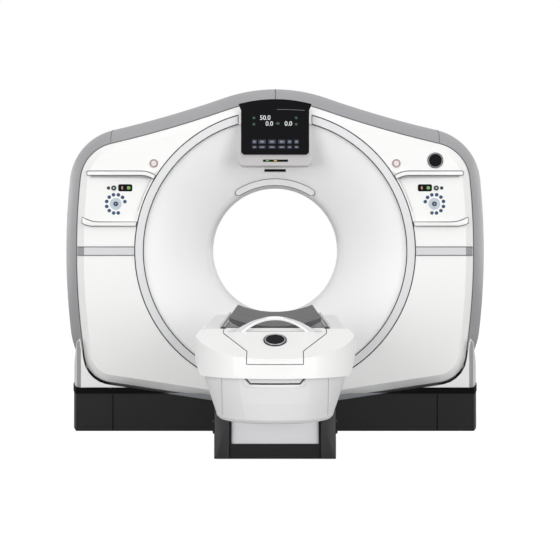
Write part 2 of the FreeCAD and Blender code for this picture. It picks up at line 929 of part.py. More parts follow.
def make_trunnions():
    """Shafts at the ends of the arms, and the bearings that hold them in the pylons."""
    shafts = [
        rod("shaft_right", ALONG_X, D.trunnion_radius, D.arm_end, D.trunnion_end, 0, ISO),
        rod("shaft_left", ALONG_X, D.trunnion_radius, -D.trunnion_end, -D.arm_end, 0, ISO),
    ]
    pair = doc.addObject("Part::Compound", "trunnion_shafts")
    pair.Links = shafts
    node("trunnion_shafts", pair)
    bearings = []
    for side, word in ((-1, "left"), (1, "right")):
        start, end = span(side, D.pylon_inner, D.pylon_outer)
        outer = rod("race_" + word, ALONG_X, D.trunnion_radius + D.bearing_shell, start, end, 0, ISO)
        inner = rod("race_hole_" + word, ALONG_X, D.trunnion_radius + D.fit_gap, start - 1, end + 1, 0, ISO)
        bearings.append(cut("race_cut_" + word, outer, inner))
    pair = doc.addObject("Part::Compound", "trunnion_bearings")
    pair.Links = bearings
    node("trunnion_bearings", pair)


def make_bearing_and_drive():
    start = D.frame_front - D.bearing_width
    split = D.bearing_split
    node("bearing_outer_ring", annulus("bearing_outer_ring", D.bearing_outer, split, start + 5, D.bearing_width - 5))
    inner = annulus("bearing_inner_ring", split - D.fit_gap, D.bearing_inner, start, D.bearing_width - 5)
    node("bearing_inner_ring", inner)
    stator = annulus("drive_stator", D.stator_outer, D.stator_inner, D.frame_front - 25, 25)
    node("drive_stator", stator)
    brush_back = D.frame_front
    brush_front = start + D.slip_ring_width + D.running_gap
    brush = block("brush_block", (-60, 60), (brush_front, brush_back),
                  (ISO + D.slip_ring_inner - 10, ISO + D.slip_ring_outer - 10))
    node("brush_block", brush)


def make_rotor():
    """The drum plate with its rim, and the magnet ring of the drive on its back."""
    back = D.frame_front - D.bearing_width
    front = back - D.drum_plate
    plate = annulus("drum_plate", D.drum_radius, D.drum_bore, front, D.drum_plate)
    rim = annulus("drum_rim", D.drum_radius, D.drum_radius - 20, front - D.drum_rim, D.drum_rim)
    magnets = annulus("drive_magnets", D.stator_outer, D.stator_inner, back, 14)
    node("rotor_drum", fuse("rotor_drum", plate, rim, magnets))
    node("slip_ring", annulus("slip_ring", D.slip_ring_outer, D.slip_ring_inner, back, D.slip_ring_width))


def make_rotor_load():
    """The X-ray tube above, the detector below, and the generator and weight at the sides."""
    seat = D.frame_front - D.bearing_width - D.drum_plate
    top = ISO + D.tube_orbit
    tube = rod("tube_case", ALONG_Y, D.tube_radius, seat - D.tube_length, seat, 0, top)
    neck = block("tube_neck", (-60, 60), (seat - 150, seat), (top, top + D.tube_radius - 5))
    node("xray_tube", fuse("xray_tube", tube, neck))
    low = D.bore_radius + 25
    box = block("collimator_box", (-80, 80), (seat - 150, seat), (ISO + low, top - 90))
    trim = rod("collimator_trim", ALONG_Y, D.tube_radius, seat - D.tube_length, seat, 0, top)
    node("collimator", cut("collimator", box, trim))
    case = block("generator_case", (D.generator_inner, D.generator_outer), (seat - D.generator_depth, seat),
                 (ISO - D.generator_low, ISO + D.generator_high))
    node("hv_generator", case)
    weight = block("counterweight", (-D.weight_outer, -D.weight_inner), (seat - D.weight_depth, seat),
                   (ISO - D.weight_low, ISO + D.weight_high))
    node("counterweight", weight)
    node("detector_arc", make_detector(seat))


def make_detector(seat):
    """A curved trough of detector modules centred on the tube's focal spot."""
    body = doc.addObject("PartDesign::Body", "detector_arc")
    sketch = new_sketch(body, "YZ_Plane")
    inner = D.detector_radius
    outer = D.detector_radius + D.detector_depth
    polygon(sketch, [(seat, inner), (seat - D.detector_width, inner),
                     (seat - D.detector_width, outer), (seat, outer)])
    turn = body.newObject("PartDesign::Revolution", "detector_turn")
    turn.Profile = sketch
    turn.ReferenceAxis = (sketch, ["H_Axis"])
    bind(turn, "Angle", D.detector_turn)
    rotation = Rotation(Vector(0, 1, 0), 180 - float(D.detector_turn) / 2)
    place(body, 0, 0, ISO + D.tube_orbit, rotation)
    return body


# The stationary base

def swing_space(depth, gap, side):
    """A round space about the trunnions that clears the covers' rim, taken at a depth from the middle."""
    widest = float(D.half_width) + 60
    rim = float(D.half_width - D.crown_depth)
    shares = [0.001, 0.144, 0.307, 0.576, 0.806, 0.8445, 0.878, 0.907, 0.931, 0.95, 0.96, 0.9655, 0.9712]
    row = [Vector(rim * share, 0, -math.hypot(depth, rim_drop(rim * share) + gap)) for share in shares]
    row[0].x = 0
    row += [Vector(rim * 0.977, 0, -side), Vector(widest, 0, -side)]
    other = [Vector(-point.x, 0, point.z) for point in row[1:]]
    loop = row + [Vector(widest, 0, 0), Vector(-widest, 0, 0)] + other[::-1] + [row[0]]
    return lifted(Part.Face(Part.makePolygon(loop)).revolve(Vector(), Vector(1, 0, 0), 360))


def base_plan(inset, inner=None):
    """The base's outline in plan, its sides bulging like the covers; from inner outwards for a leg cover."""
    half = float(D.base_half) - inset
    bulge = float(D.base_half) + float(D.base_bulge) - inset
    depth = float(D.base_depth_half) - inset
    chamfer = float(D.leg_chamfer)
    if inner is None:
        corners = [Vector(-half, -depth, 0), Vector(half, -depth, 0), Vector(half, depth, 0), Vector(-half, depth, 0)]
        edges = [
            Part.LineSegment(corners[0], corners[1]).toShape(),
            Part.Arc(corners[1], Vector(bulge, 0, 0), corners[2]).toShape(),
            Part.LineSegment(corners[2], corners[3]).toShape(),
            Part.Arc(corners[3], Vector(-bulge, 0, 0), corners[0]).toShape(),
        ]
        return Part.Wire(edges)
    corners = [
        Vector(inner, -depth, 0),
        Vector(half - chamfer, -depth, 0),
        Vector(half, chamfer - depth, 0),
        Vector(half, depth - chamfer, 0),
        Vector(half - chamfer, depth, 0),
        Vector(inner, depth, 0),
    ]
    edges = [Part.LineSegment(corners[index - 1], corners[index]).toShape() for index in (0, 1, 2, 4, 5)]
    edges.append(Part.Arc(corners[2], Vector(bulge, 0, 0), corners[3]).toShape())
    return Part.Wire(Part.__sortEdges__(edges))


def prism(wire, low, high):
    """A solid standing on a plan outline between two heights above the floor."""
    solid = Part.Face(wire).extrude(Vector(0, 0, high - low))
    solid.translate(Vector(0, 0, low))
    return solid


def box_between(x, y, z):
    return Part.makeBox(x[1] - x[0], y[1] - y[0], z[1] - z[0], Vector(x[0], y[0], z[0]))


def lifted(shape):
    shape.translate(Vector(0, 0, float(ISO)))
    return shape


GAP = float(D.swing_gap)
SIDE = float(D.side_swing)
SWING = swing_space(float(D.band_half), GAP, SIDE)
LEG_SWING = swing_space(float(D.base_depth_half), float(D.outline_gap), SIDE)
LEG_HOLLOW = swing_space(float(D.base_depth_half), float(D.outline_gap + D.leg_wall), SIDE + float(D.leg_wall))


def make_base_frame():
    """The welded frame: floor plate and perimeter beams with a trough for the swinging covers."""
    inset = float(D.leg_wall)
    beam = float(D.beam_width)
    plate = float(D.floor_plate)
    top = float(D.plinth_top)
    whole = prism(base_plan(inset), 0, top)
    pocket = prism(base_plan(inset + beam), plate, top + 10)
    frame = whole.cut(pocket).cut(SWING)
    holes = []
    for x in (-float(D.anchor_x), float(D.anchor_x)):
        for y in (-float(D.anchor_y), float(D.anchor_y)):
            hole = Part.makeCylinder(float(D.anchor_radius), 400, Vector(x, y, -10))
            holes.append(hole)
    frame = frame.cut(holes)
    node("base_frame", shaped("base_frame", frame.removeSplitter(), 0))


def make_pylons():
    """Cranked steel uprights on the frame's side beams, each bored for its trunnion bearing."""
    deep = (-D.pylon_half, D.pylon_half)
    low = D.crank_low
    high = D.crank_top
    pair = []
    for side, word in ((-1, "left"), (1, "right")):
        column = block("column_" + word, span(side, D.pylon_inner, D.pylon_outer), deep, (low, ISO + D.pylon_rise))
        crank = block("crank_" + word, span(side, D.pylon_inner, D.foot_outer), deep, (low, high))
        foot = block("foot_" + word, span(side, D.foot_inner, D.foot_outer), deep, (D.plinth_top, high))
        start, end = span(side, D.pylon_inner - 5, D.pylon_outer + 5)
        seat = D.trunnion_radius + D.bearing_shell
        hole = rod("bearing_seat_" + word, ALONG_X, seat, start, end, 0, ISO)
        whole = fuse("pylon_body_" + word, column, crank, foot)
        pair.append(cut("pylon_" + word, whole, hole))
    pylons = doc.addObject("Part::Compound", "pylons")
    pylons.Links = pair
    node("pylons", pylons)
    motor = rod("motor_case", ALONG_X, D.motor_radius, D.pylon_outer, D.pylon_outer + D.motor_length, 0, ISO)
    inner = rod("motor_bore", ALONG_X, D.trunnion_radius + D.fit_gap, D.pylon_outer - 1, D.trunnion_end + 2, 0, ISO)
    node("tilt_gearmotor", cut("tilt_gearmotor", motor, inner))


def make_plinth():
    """Black skirt covers round the frame: front, rear and the two ends."""
    top = float(D.plinth_top)
    seam = float(D.corner_seam)
    outer = prism(base_plan(0), 0, top)
    inner = prism(base_plan(float(D.leg_wall)), -1, top + 1)
    skirt = outer.cut(inner).cut(LEG_SWING)
    depth = float(D.base_depth_half) + 20
    front = skirt.common(box_between((-seam, seam), (-depth, 0), (-1, 500)))
    rear = skirt.common(box_between((-seam, seam), (0, depth), (-1, 500)))
    ends = skirt.cut(box_between((-seam, seam), (-depth, depth), (-1, 500)))
    node("plinth_front", shaped("plinth_front", front, 0))
    node("plinth_rear", shaped("plinth_rear", rear, 0))
    node("plinth_ends", shaped("plinth_ends", ends, 0))


def make_leg_covers():
    """White covers between the plinth and the swinging gantry, and the dark seal under them."""
    wall = float(D.leg_wall)
    seal_low = float(D.plinth_top)
    seal_top = float(D.seal_top)
    top = float(ISO - D.leg_rise_drop)
    inner = float(D.leg_inner)
    seal = prism(base_plan(-3), seal_low, seal_top).cut(prism(base_plan(wall * 3), seal_low - 1, seal_top + 1))
    node("base_seal", shaped("base_seal", seal.cut(LEG_SWING), 0))
    outer = prism(base_plan(0, inner), seal_top, top).cut(LEG_SWING)
    hollow = prism(base_plan(wall, inner + wall), seal_top - 1, top).cut(LEG_HOLLOW)
    shell = outer.cut(hollow)
    slot_gap = float(D.slot_gap)
    slot_x = (float(D.pylon_inner) - slot_gap, float(D.foot_inner))
    slot_y = (-float(D.pylon_half) - slot_gap, float(D.pylon_half) + slot_gap)
    shell = shell.cut(box_between(slot_x, slot_y, (0, top)))
    right = shaped("leg_cover_right", shell, 0)
    pair = doc.addObject("Part::Compound", "leg_covers")
    pair.Links = [right, mirrored("leg_cover_left", right)]
    node("leg_covers", pair)


# The patient table

def section_wire(points):
    return Part.makePolygon([Vector(x, 0, z) for x, z in points] + [Vector(points[0][0], 0, points[0][1])])


def table_section(inset):
    """The top cover's cross-section seen from the foot end, as a closed wire at y = 0."""
    half = float(D.table_half) - inset
    top = -float(D.shoulder_drop) - inset
    low = -float(D.moulding_drop)
    right = [
        Part.Arc(Vector(half - 45, 0, top), Vector(half - 13, 0, top - 13), Vector(half, 0, top - 45)).toShape(),
        Part.Arc(Vector(half, 0, top - 45), Vector(half - 4, 0, low + 60), Vector(half - 28, 0, low)).toShape(),
    ]
    left = [edge.mirror(Vector(), Vector(1, 0, 0)) for edge in right]
    roof = Part.LineSegment(Vector(-half + 45, 0, top), Vector(half - 45, 0, top)).toShape()
    sole = Part.LineSegment(Vector(-half + 28, 0, low), Vector(half - 28, 0, low)).toShape()
    return Part.Wire(Part.__sortEdges__(right + left + [roof, sole]))


def nose_plan(half, end, head):
    """Plan of the table with its rounded foot end."""
    start = -float(D.nose_start)
    shoulder = 0.86 * half
    tip = -end
    edges = [
        Part.LineSegment(Vector(-half, head, 0), Vector(half, head, 0)).toShape(),
        Part.LineSegment(Vector(half, head, 0), Vector(half, start, 0)).toShape(),
        Part.Arc(Vector(half, start, 0), Vector(shoulder, 0.45 * start + 0.55 * tip, 0),
                 Vector(0.5 * half, 0.1 * start + 0.9 * tip, 0)).toShape(),
        Part.Arc(Vector(0.5 * half, 0.1 * start + 0.9 * tip, 0), Vector(0, tip, 0),
                 Vector(-0.5 * half, 0.1 * start + 0.9 * tip, 0)).toShape(),
        Part.Arc(Vector(-0.5 * half, 0.1 * start + 0.9 * tip, 0), Vector(-shoulder, 0.45 * start + 0.55 * tip, 0),
                 Vector(-half, start, 0)).toShape(),
        Part.LineSegment(Vector(-half, start, 0), Vector(-half, head, 0)).toShape(),
    ]
    return Part.Wire(edges)


def nose_wedge(lower):
    """The space over the sloping top of the nose; lower moves its floor down."""
    start = -float(D.nose_start)
    end = -float(D.nose_end)
    high = -float(D.shoulder_drop) - lower
    low = -float(D.crest_drop) - lower
    slope = (low - high) / (end - start)
    far = end - 100
    points = [(start + 60, high), (start, high), (far, low + slope * (far - end)), (far, 0), (start + 60, 0)]
    wire = Part.makePolygon([Vector(-500, y, z) for y, z in points + [points[0]]])
    return Part.Face(wire).extrude(Vector(1000, 0, 0))


def channel_points(inset):
    """The channel's corners: upright sides, a slope, and upright walls down to the floor."""
    wide = float(D.channel_half) + inset
    slot = float(D.slot_half) + inset
    edge = -float(D.channel_drop) - inset * 0.6
    bend = -float(D.slope_drop) - inset * 0.6
    floor = -float(D.slot_drop) - inset
    right = [(wide, 0), (wide, edge), (slot, bend), (slot, floor)]
    return right + [(-x, z) for x, z in right[::-1]]


def channel_tool(inset):
    """The channel along the table's middle in which the cradle and its end cover run."""
    solid = Part.Face(section_wire(channel_points(inset))).extrude(Vector(0, 2000, 0))
    solid.translate(Vector(0, -float(D.nose_end) - 50, 0))
    return solid


def table_form(inset, head):
    """Outer form of the table's top cover, or its inside when inset."""
    section = Part.Face(table_section(inset)).extrude(Vector(0, 2000, 0))
    section.translate(Vector(0, -float(D.nose_end) - 100, 0))
    plan = nose_plan(float(D.table_half) - inset, float(D.nose_end) - inset, head)
    form = Part.Face(plan).extrude(Vector(0, 0, 300))
    form.translate(Vector(0, 0, inset - float(D.moulding_drop)))
    return section.common(form).cut(nose_wedge(inset))


def make_table_cover():
    skin = float(D.cover_skin)
    head = -float(D.table_head)
    outer = table_form(0, head).cut(channel_tool(0))
    inner = table_form(skin, head - skin).cut(channel_tool(skin))
    below = -float(D.moulding_drop) - 5
    reach = float(D.shroud_half) + 4
    tray_space = box_between((-reach, reach), (-float(D.nose_start) - 94, head - skin), (below, -float(D.slot_drop) - skin))
    node("table_cover", shaped("table_cover", outer.cut(inner).cut(tray_space)))


def make_boot():
    """The deep tub under the foot end, narrowing downwards, hung from the frame by two rails."""
    head = -float(D.boot_start)
    skin = float(D.cover_skin)
    high = -float(D.moulding_drop)
    low = -float(D.boot_drop)
    half = float(D.boot_half)
    low_half = float(D.boot_low_half)
    end = float(D.nose_end)
    corner = float(D.boot_corner)
    rows = [
        (half + 15, end - 25, high),
        (0.5 * (half + low_half), end - 38, 0.45 * high + 0.55 * low),
        (low_half, end - 50, low + corner),
    ]
    for turn in (30, 60, 90):
        inwards = corner * (1 - math.cos(math.radians(turn)))
        rows.append((low_half - inwards, end - 50 - inwards, low + corner * (1 - math.sin(math.radians(turn)))))
    outer = []
    inner = []
    for half, end, z in rows:
        outer.append(raised(nose_plan(half, end, head), z))
        step = skin if z == low else (-skin if z == high else 0)
        inner.append(raised(nose_plan(half - skin, end - skin, head - skin), z + step))
    tub = Part.makeLoft(outer, True, True).cut(Part.makeLoft(inner, True, True))
    rail = float(D.shroud_half)
    back = -float(D.nose_start) - 60
    tub = tub.cut(box_between((50 - rail, rail - 50), (back, head - 60), (high - skin * 2, high + 5)))
    under = -float(D.slot_drop) - 24
    for x in (-rail, rail - 30):
        tub = tub.fuse(box_between((x, x + 30), (back, head - 40), (high, under)))
    node("table_boot", shaped("table_boot", tub))


def raised(wire, z):
    wire.translate(Vector(0, 0, z))
    return wire


def make_table_frame():
    """The steel tray under the cover that carries rails, cradle and skirts."""
    low = ISO - D.slot_drop - 24
    floor_top = ISO - D.slot_drop - D.cover_skin
    start = -D.nose_start - 90
    end = -D.table_head - 20
    tray = block("tray", (-D.shroud_half, D.shroud_half), (start, end), (low, floor_top))
    node("table_frame", tray)
    rail_low = ISO - D.shoulder_drop
    rails = []
    for side in (-1, 1):
        middle = side * (D.channel_half + 12)
        rails.append(block("side_rail", (middle - D.rail_half, middle + D.rail_half),
                           (-D.nose_start + 10, -D.table_head), (rail_low, rail_low + 12)))
    pair = doc.addObject("Part::Compound", "side_rails")
    pair.Links = rails
    node("side_rails", pair)


def cradle_section():
    """A curved board: hollow top, thicker along its middle."""
    half = float(D.cradle_half)
    top = -float(D.cradle_rise_drop)
    sag = float(D.cradle_sag)
    edge = float(D.cradle_edge)
    core = float(D.cradle_core)
    upper = Part.Arc(Vector(-half, 0, top), Vector(0, 0, top - sag), Vector(half, 0, top)).toShape()
    lower = Part.Arc(Vector(half, 0, top - edge), Vector(0, 0, top - sag - core), Vector(-half, 0, top - edge)).toShape()
    sides = [
        Part.LineSegment(Vector(half, 0, top), Vector(half, 0, top - edge)).toShape(),
        Part.LineSegment(Vector(-half, 0, top - edge), Vector(-half, 0, top)).toShape(),
    ]
    return Part.Face(Part.Wire(Part.__sortEdges__([upper, lower] + sides)))


def make_cradle():
    length = float(D.cradle_foot) - float(D.cradle_head)
    section = cradle_section()
    section.translate(Vector(0, -float(D.cradle_foot), 0))
    board = section.extrude(Vector(0, length, 0))
    cradle = node("cradle", shaped("cradle", board))
    under = ISO - D.cradle_rise_drop - D.cradle_sag - D.cradle_core
    start = -D.cradle_foot
    floor_top = ISO - D.slot_drop
    across = (-D.carriage_half, D.carriage_half)
    low = floor_top + D.running_gap
    body = block("carriage_box", across, (start, start + D.carriage_length), (low, under + 12))
    tongue = block("carriage_tongue", across, (start - D.carriage_length, start), (low, ISO - D.slope_drop))
    node("carriage", cut("carriage", fuse("carriage_body", body, tongue), cradle))


def make_end_cover():
    """The white end piece over the nose, with its draped lip."""
    gap = float(D.end_gap)
    solid = Part.Face(section_wire(channel_points(-gap))).extrude(Vector(0, 700, 0))
    solid.translate(Vector(0, -float(D.nose_end) - 50, 0))
    plan = nose_plan(float(D.table_half), float(D.nose_end), -float(D.cradle_foot))
    form = Part.Face(plan).extrude(Vector(0, 0, 400))
    form.translate(Vector(0, 0, -500))
    solid = solid.common(form).cut(nose_wedge(0))
    hollow_low = -float(D.slot_drop) - 10
    half = float(D.carriage_half) + float(D.running_gap)
    roof = float(D.running_gap - D.slope_drop)
    back = -float(D.cradle_foot + D.carriage_length + D.running_gap)
    solid = solid.cut(box_between((-half, half), (back, 0), (hollow_low, roof)))
    return node("cradle_end_cover", shaped("cradle_end_cover", solid))


def make_handle(end_cover):
    """The arched grip over the end cover, a bent rod with both feet let into the cover."""
    y = -D.nose_start - 25
    ring = doc.addObject("Part::Torus", "handle_ring")
    bind(ring, "Radius1", D.handle_arch)
    bind(ring, "Radius2", D.handle_radius)
    place(ring, 0, y, ISO - D.handle_top_drop - D.handle_arch, ALONG_Y)
    reach = D.handle_arch + D.handle_radius * 2
    under = ISO - D.handle_foot_drop
    below = block("handle_below", (-reach, reach), (y - 50, y + 50), (under - reach * 2, under))
    node("cradle_handle", cut("cradle_handle", ring, below, end_cover))


def tube_shell(name, half, wall, y, low, high):
    """An upright four-sided tube."""
    outer = block(name + "_outer", (-half, half), y, (low, high))
    inner = block(name + "_inner", (wall - half, half - wall), (y[0] + wall, y[1] - wall), (low - 1, high + 1))
    return cut(name, outer, inner)


def make_lift():
    """Three nested shrouds and three nested column tubes; the middle ones move at half the lift."""
    floor = D.table_plate
    y0 = -D.base_foot + 14
    y1 = -D.base_head - 14
    under = ISO - D.slot_drop - 24
    lower_top = D.stage_top
    tops = [lower_top, lower_top + 100, under]
    lows = [floor, lower_top - 125, lower_top - 25]
    names = ["lower", "middle", "upper"]
    for stage in range(3):
        step = D.shroud_step * stage
        item = tube_shell("shroud_" + names[stage], D.shroud_half - step, D.shroud_wall,
                          (y0 + step, y1 - step), lows[stage], tops[stage])
        node("shroud_" + names[stage], item)
    middle = (y0 + y1) / 2
    for stage in range(3):
        half = D.column_half - D.column_step * stage
        top = tops[stage] if stage == 2 else tops[stage] - 10 + 15 * stage
        item = tube_shell("lift_column_" + names[stage], half, D.column_wall,
                          (middle - half, middle + half), lows[stage] - (5 if stage == 1 else 0), top)
        node("lift_column_" + names[stage], item)


def make_table_base():
    """The black floor frame: plate, side posts and the bar across the foot end."""
    foot = -D.base_foot
    head = -D.base_head
    half = D.table_base_half
    whole = block("table_base_block", (-half, half), (foot, head), (0, D.post_height))
    pocket = block("table_base_pocket", (D.post_width - half, half - D.post_width), (foot + 12, head - 12),
                   (D.table_plate, D.post_height + 5))
    gate = block("table_base_gate", (D.post_width - half, half - D.post_width), (foot - 5, foot + 20),
                 (D.bar_height, D.post_height + 5))
    back_gate = block("table_base_back_gate", (D.post_width - half, half - D.post_width), (head - 20, head + 5),
                      (D.bar_height, D.post_height + 5))
    middle = (foot + head) / 2
    holes = []
    for x in (-D.table_anchor_x, D.table_anchor_x):
        for y in (middle - D.table_anchor_y, middle + D.table_anchor_y):
            holes.append(rod("table_anchor", ALONG_Z, D.anchor_radius, -5, D.table_plate + 5, x, y))
    node("table_base", cut("table_base", whole, pocket, gate, back_gate, *holes))
    duct = block("link_duct", (-D.duct_half, D.duct_half), (head, -D.base_depth_half), (0, D.duct_height))
    node("link_duct", duct)


def make_all():
    make_band()
    front_cover = make_front_cover()
    make_rear_cover()
    make_crescent(make_ring_and_funnels(front_cover))
    make_display()
    make_panels_and_buttons()
    make_tilt_frame()
    make_trunnions()
    make_bearing_and_drive()
    make_rotor()
    make_rotor_load()
    make_base_frame()
    make_pylons()
    make_plinth()
    make_leg_covers()
    make_table_cover()
    make_boot()
    make_table_frame()
    make_cradle()
    make_handle(make_end_cover())
    make_lift()
    make_table_base()


def check_document():
    doc.recompute()
    for item in doc.Objects:
        if "Invalid" in item.State or "Error" in item.State:
            raise RuntimeError("%s did not build: %s" % (item.Label, item.State))
    for item in NODES:
        shape = item.Shape
        if shape.isNull() or not shape.isValid() or not shape.Solids:
            raise RuntimeError("%s has no valid solid" % item.Label)


def write_parts():
    os.makedirs("parts", exist_ok=True)
    for item in NODES:
        item.Shape.exportStep("parts/%s.step" % item.Label)


make_all()
check_document()
write_parts()
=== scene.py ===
import bpy
import bmesh
import json
import math
from mathutils import Matrix, Vector

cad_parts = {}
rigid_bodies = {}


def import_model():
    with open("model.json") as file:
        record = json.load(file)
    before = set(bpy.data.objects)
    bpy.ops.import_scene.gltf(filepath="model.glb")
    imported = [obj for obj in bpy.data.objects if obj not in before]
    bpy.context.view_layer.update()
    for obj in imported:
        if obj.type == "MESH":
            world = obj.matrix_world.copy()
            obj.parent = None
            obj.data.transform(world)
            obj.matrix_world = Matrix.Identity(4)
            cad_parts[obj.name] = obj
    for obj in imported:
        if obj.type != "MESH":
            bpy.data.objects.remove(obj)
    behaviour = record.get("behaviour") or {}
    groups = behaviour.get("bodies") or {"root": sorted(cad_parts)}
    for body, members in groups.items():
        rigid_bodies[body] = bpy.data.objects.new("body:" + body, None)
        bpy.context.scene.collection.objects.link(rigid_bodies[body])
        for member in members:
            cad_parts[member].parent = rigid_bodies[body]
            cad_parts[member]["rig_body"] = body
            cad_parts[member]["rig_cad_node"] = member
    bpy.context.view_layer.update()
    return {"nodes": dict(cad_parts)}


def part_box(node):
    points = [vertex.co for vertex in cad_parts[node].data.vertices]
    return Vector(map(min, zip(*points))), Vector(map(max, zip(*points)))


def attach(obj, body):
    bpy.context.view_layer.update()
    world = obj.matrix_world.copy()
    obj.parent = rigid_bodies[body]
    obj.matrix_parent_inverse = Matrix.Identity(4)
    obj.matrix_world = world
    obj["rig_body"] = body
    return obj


# A tilting CT scanner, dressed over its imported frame. Metres, +Z up, +Y into the bore.
# Sections follow the machine as it is put together, from the gantry's covers to the table and its
# base. ISO is the height of the bore's middle, from which the gantry and the table are measured.

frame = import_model()
nodes = frame["nodes"]
scene = bpy.context.scene
scene.view_settings.view_transform = "Standard"
liner_low, liner_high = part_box("bore_liners")
ISO = round((liner_low.z + liner_high.z) / 2, 3)


# ---- Front and rear covers -------------------------------------------------------------------
# Large white shells of glass-fibre moulding with a satin gelcoat. They hang on the tilting frame
# and carry the ring, the panels and the push buttons. Gelcoat keeps a faint ripple from its mould.

def linear(code):
    """The linear colour of an sRGB hex value."""
    parts = [int(code[i:i + 2], 16) / 255 for i in (0, 2, 4)]
    return [c / 12.92 if c <= 0.04045 else ((c + 0.055) / 1.055) ** 2.4 for c in parts] + [1.0]


def add(tree, kind, values=None, links=None, **settings):
    """Adds one node with its settings, its socket values and its incoming links."""
    node = tree.nodes.new(kind)
    for name, value in settings.items():
        setattr(node, name, value)
    for socket, value in (values or {}).items():
        node.inputs[socket].default_value = value
    for socket, source in (links or {}).items():
        tree.links.new(source, node.inputs[socket])
    return node


def moulded(name, light, dark, roughness, ripple_mm, depth_mm, metallic=0.0, coat=0.0, specular=0.5):
    """A finish with a faint cloudy change of shade and a fine surface ripple, both in real sizes."""
    material = bpy.data.materials.new(name)
    material.use_nodes = True
    tree = material.node_tree
    shader = tree.nodes["Principled BSDF"]
    shader.inputs["Metallic"].default_value = metallic
    shader.inputs["Coat Weight"].default_value = coat
    shader.inputs["Specular IOR Level"].default_value = specular
    place = add(tree, "ShaderNodeTexCoord").outputs["Object"]
    cloud = add(tree, "ShaderNodeTexNoise", {"Scale": 3.0, "Detail": 3.0}, {"Vector": place})
    shade = add(tree, "ShaderNodeMix", {"A": linear(light), "B": linear(dark)},
                {"Factor": cloud.outputs["Fac"]}, data_type="RGBA")
    fine = add(tree, "ShaderNodeTexNoise", {"Scale": 1000 / ripple_mm, "Detail": 2.0}, {"Vector": place})
    rough = add(tree, "ShaderNodeMapRange", {"To Min": roughness - 0.04, "To Max": roughness + 0.05},
                {"Value": cloud.outputs["Fac"]})
    bump = add(tree, "ShaderNodeBump", {"Strength": 0.25, "Distance": depth_mm / 1000},
               {"Height": fine.outputs["Fac"]})
    tree.links.new(shade.outputs["Result"], shader.inputs["Base Color"])
    tree.links.new(rough.outputs["Result"], shader.inputs["Roughness"])
    tree.links.new(bump.outputs["Normal"], shader.inputs["Normal"])
    return material


def finish_nodes(material, names):
    """Gives a finish to the CAD nodes that really have it."""
    for name in names:
        nodes[name].material_slots[0].material = material


white_gelcoat = moulded("white_gelcoat_moulding", "F8F8F7", "F3F3F2", 0.36, 2.5, 0.05, coat=0.15)
finish_nodes(white_gelcoat, ["front_cover", "rear_cover"])


# ---- Top, side and belly covers --------------------------------------------------------------
# Crowned grey shells that wrap round the gantry between the two white ones. They are sprayed with a
# satin polyurethane paint, which shows a finer orange peel than the gelcoat. Their grey is partly
# painted shade: it is made darker than the paint for the shade on the crowns seen edge-on.

grey_paint_and_painted_shade = moulded("grey_satin_paint_and_painted_shade", "A6A6A9", "9F9FA2", 0.45, 1.6, 0.04)
finish_nodes(grey_paint_and_painted_shade, ["top_covers", "side_cover_left", "side_cover_right", "belly_cover"])


# ---- Rubber beads in the cover joints --------------------------------------------------------
# A matt dark rubber bead is pressed onto the edge of a cover in each joint, where it reads as a
# thin line. The front and rear beads are slimmer low down at the sides, where the tilting gantry
# passes 2 mm from the steel uprights.

black_rubber = moulded("extruded_black_rubber", "3A3A3B", "303031", 0.7, 0.8, 0.05)
grey_rubber = moulded("grey_extruded_rubber", "69696C", "5F5F62", 0.6, 0.8, 0.04)
JOINT_DEPTH = 0.425
COVER_EDGE = 0.76
SHOULDER = 1.45
UPRIGHT_FACE = 0.94
UPRIGHT_TOP = 0.42
BESIDE_UPRIGHTS = 0.43


def deselect():
    bpy.ops.object.select_all(action="DESELECT")


def settle(piece, name, body, material, smooth=35):
    """Puts a finished piece's place into its mesh, and gives it its name, finish and body."""
    deselect()
    piece.select_set(True)
    bpy.context.view_layer.objects.active = piece
    bpy.ops.object.transform_apply(location=True, rotation=True, scale=True)
    if smooth:
        bpy.ops.object.shade_smooth_by_angle(angle=math.radians(smooth))
    piece.name = name
    piece.data.name = name
    piece.data.materials.clear()
    piece.data.materials.append(material)
    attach(piece, body)
    deselect()
    return piece


def edge_bead(name, source, wanted, radius, material):
    """A round bead along those edges of a gantry cover that wanted(edge) picks."""
    deselect()
    line = nodes[source].copy()
    line.data = nodes[source].data.copy()
    line.parent = None
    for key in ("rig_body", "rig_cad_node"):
        if key in line:
            del line[key]
    scene.collection.objects.link(line)
    line.select_set(True)
    bpy.context.view_layer.objects.active = line
    bpy.ops.object.mode_set(mode="EDIT")
    bpy.ops.mesh.select_all(action="SELECT")
    bpy.ops.mesh.remove_doubles(threshold=0.00002)
    mesh = bmesh.from_edit_mesh(line.data)
    bpy.ops.mesh.select_all(action="DESELECT")
    bpy.ops.mesh.select_mode(type="EDGE")
    for edge in mesh.edges:
        edge.select_set(wanted(edge))
    bpy.ops.mesh.select_all(action="INVERT")
    bpy.ops.mesh.delete(type="EDGE")
    bpy.ops.mesh.select_all(action="SELECT")
    bpy.ops.mesh.delete(type="ONLY_FACE")
    bpy.ops.object.mode_set(mode="OBJECT")
    bpy.ops.object.convert(target="CURVE")
    for spline in line.data.splines:
        for point in spline.points:
            beside = abs(point.co.x) > UPRIGHT_FACE and point.co.z < UPRIGHT_TOP
            point.radius = BESIDE_UPRIGHTS if beside else 1
    line.data.bevel_depth = radius
    line.data.bevel_resolution = 1
    bpy.ops.object.convert(target="MESH")
    return settle(line, name, "gantry", material, 60)


def on_rim(edge, y):
    """An outer edge of a pan's rim: at that depth, between the rim's face and the outward bevel."""
    if any(abs(v.co.y - y) > 0.0004 for v in edge.verts) or len(edge.link_faces) != 2:
        return False
    middle = (edge.verts[0].co + edge.verts[1].co) / 2 - Vector((0, y, ISO))
    if middle.length < COVER_EDGE:
        return False
    outward = middle.normalized()
    facing = [face.normal.dot(outward) for face in edge.link_faces]
    return max(facing) > 0.25 and min(facing) < 0.2


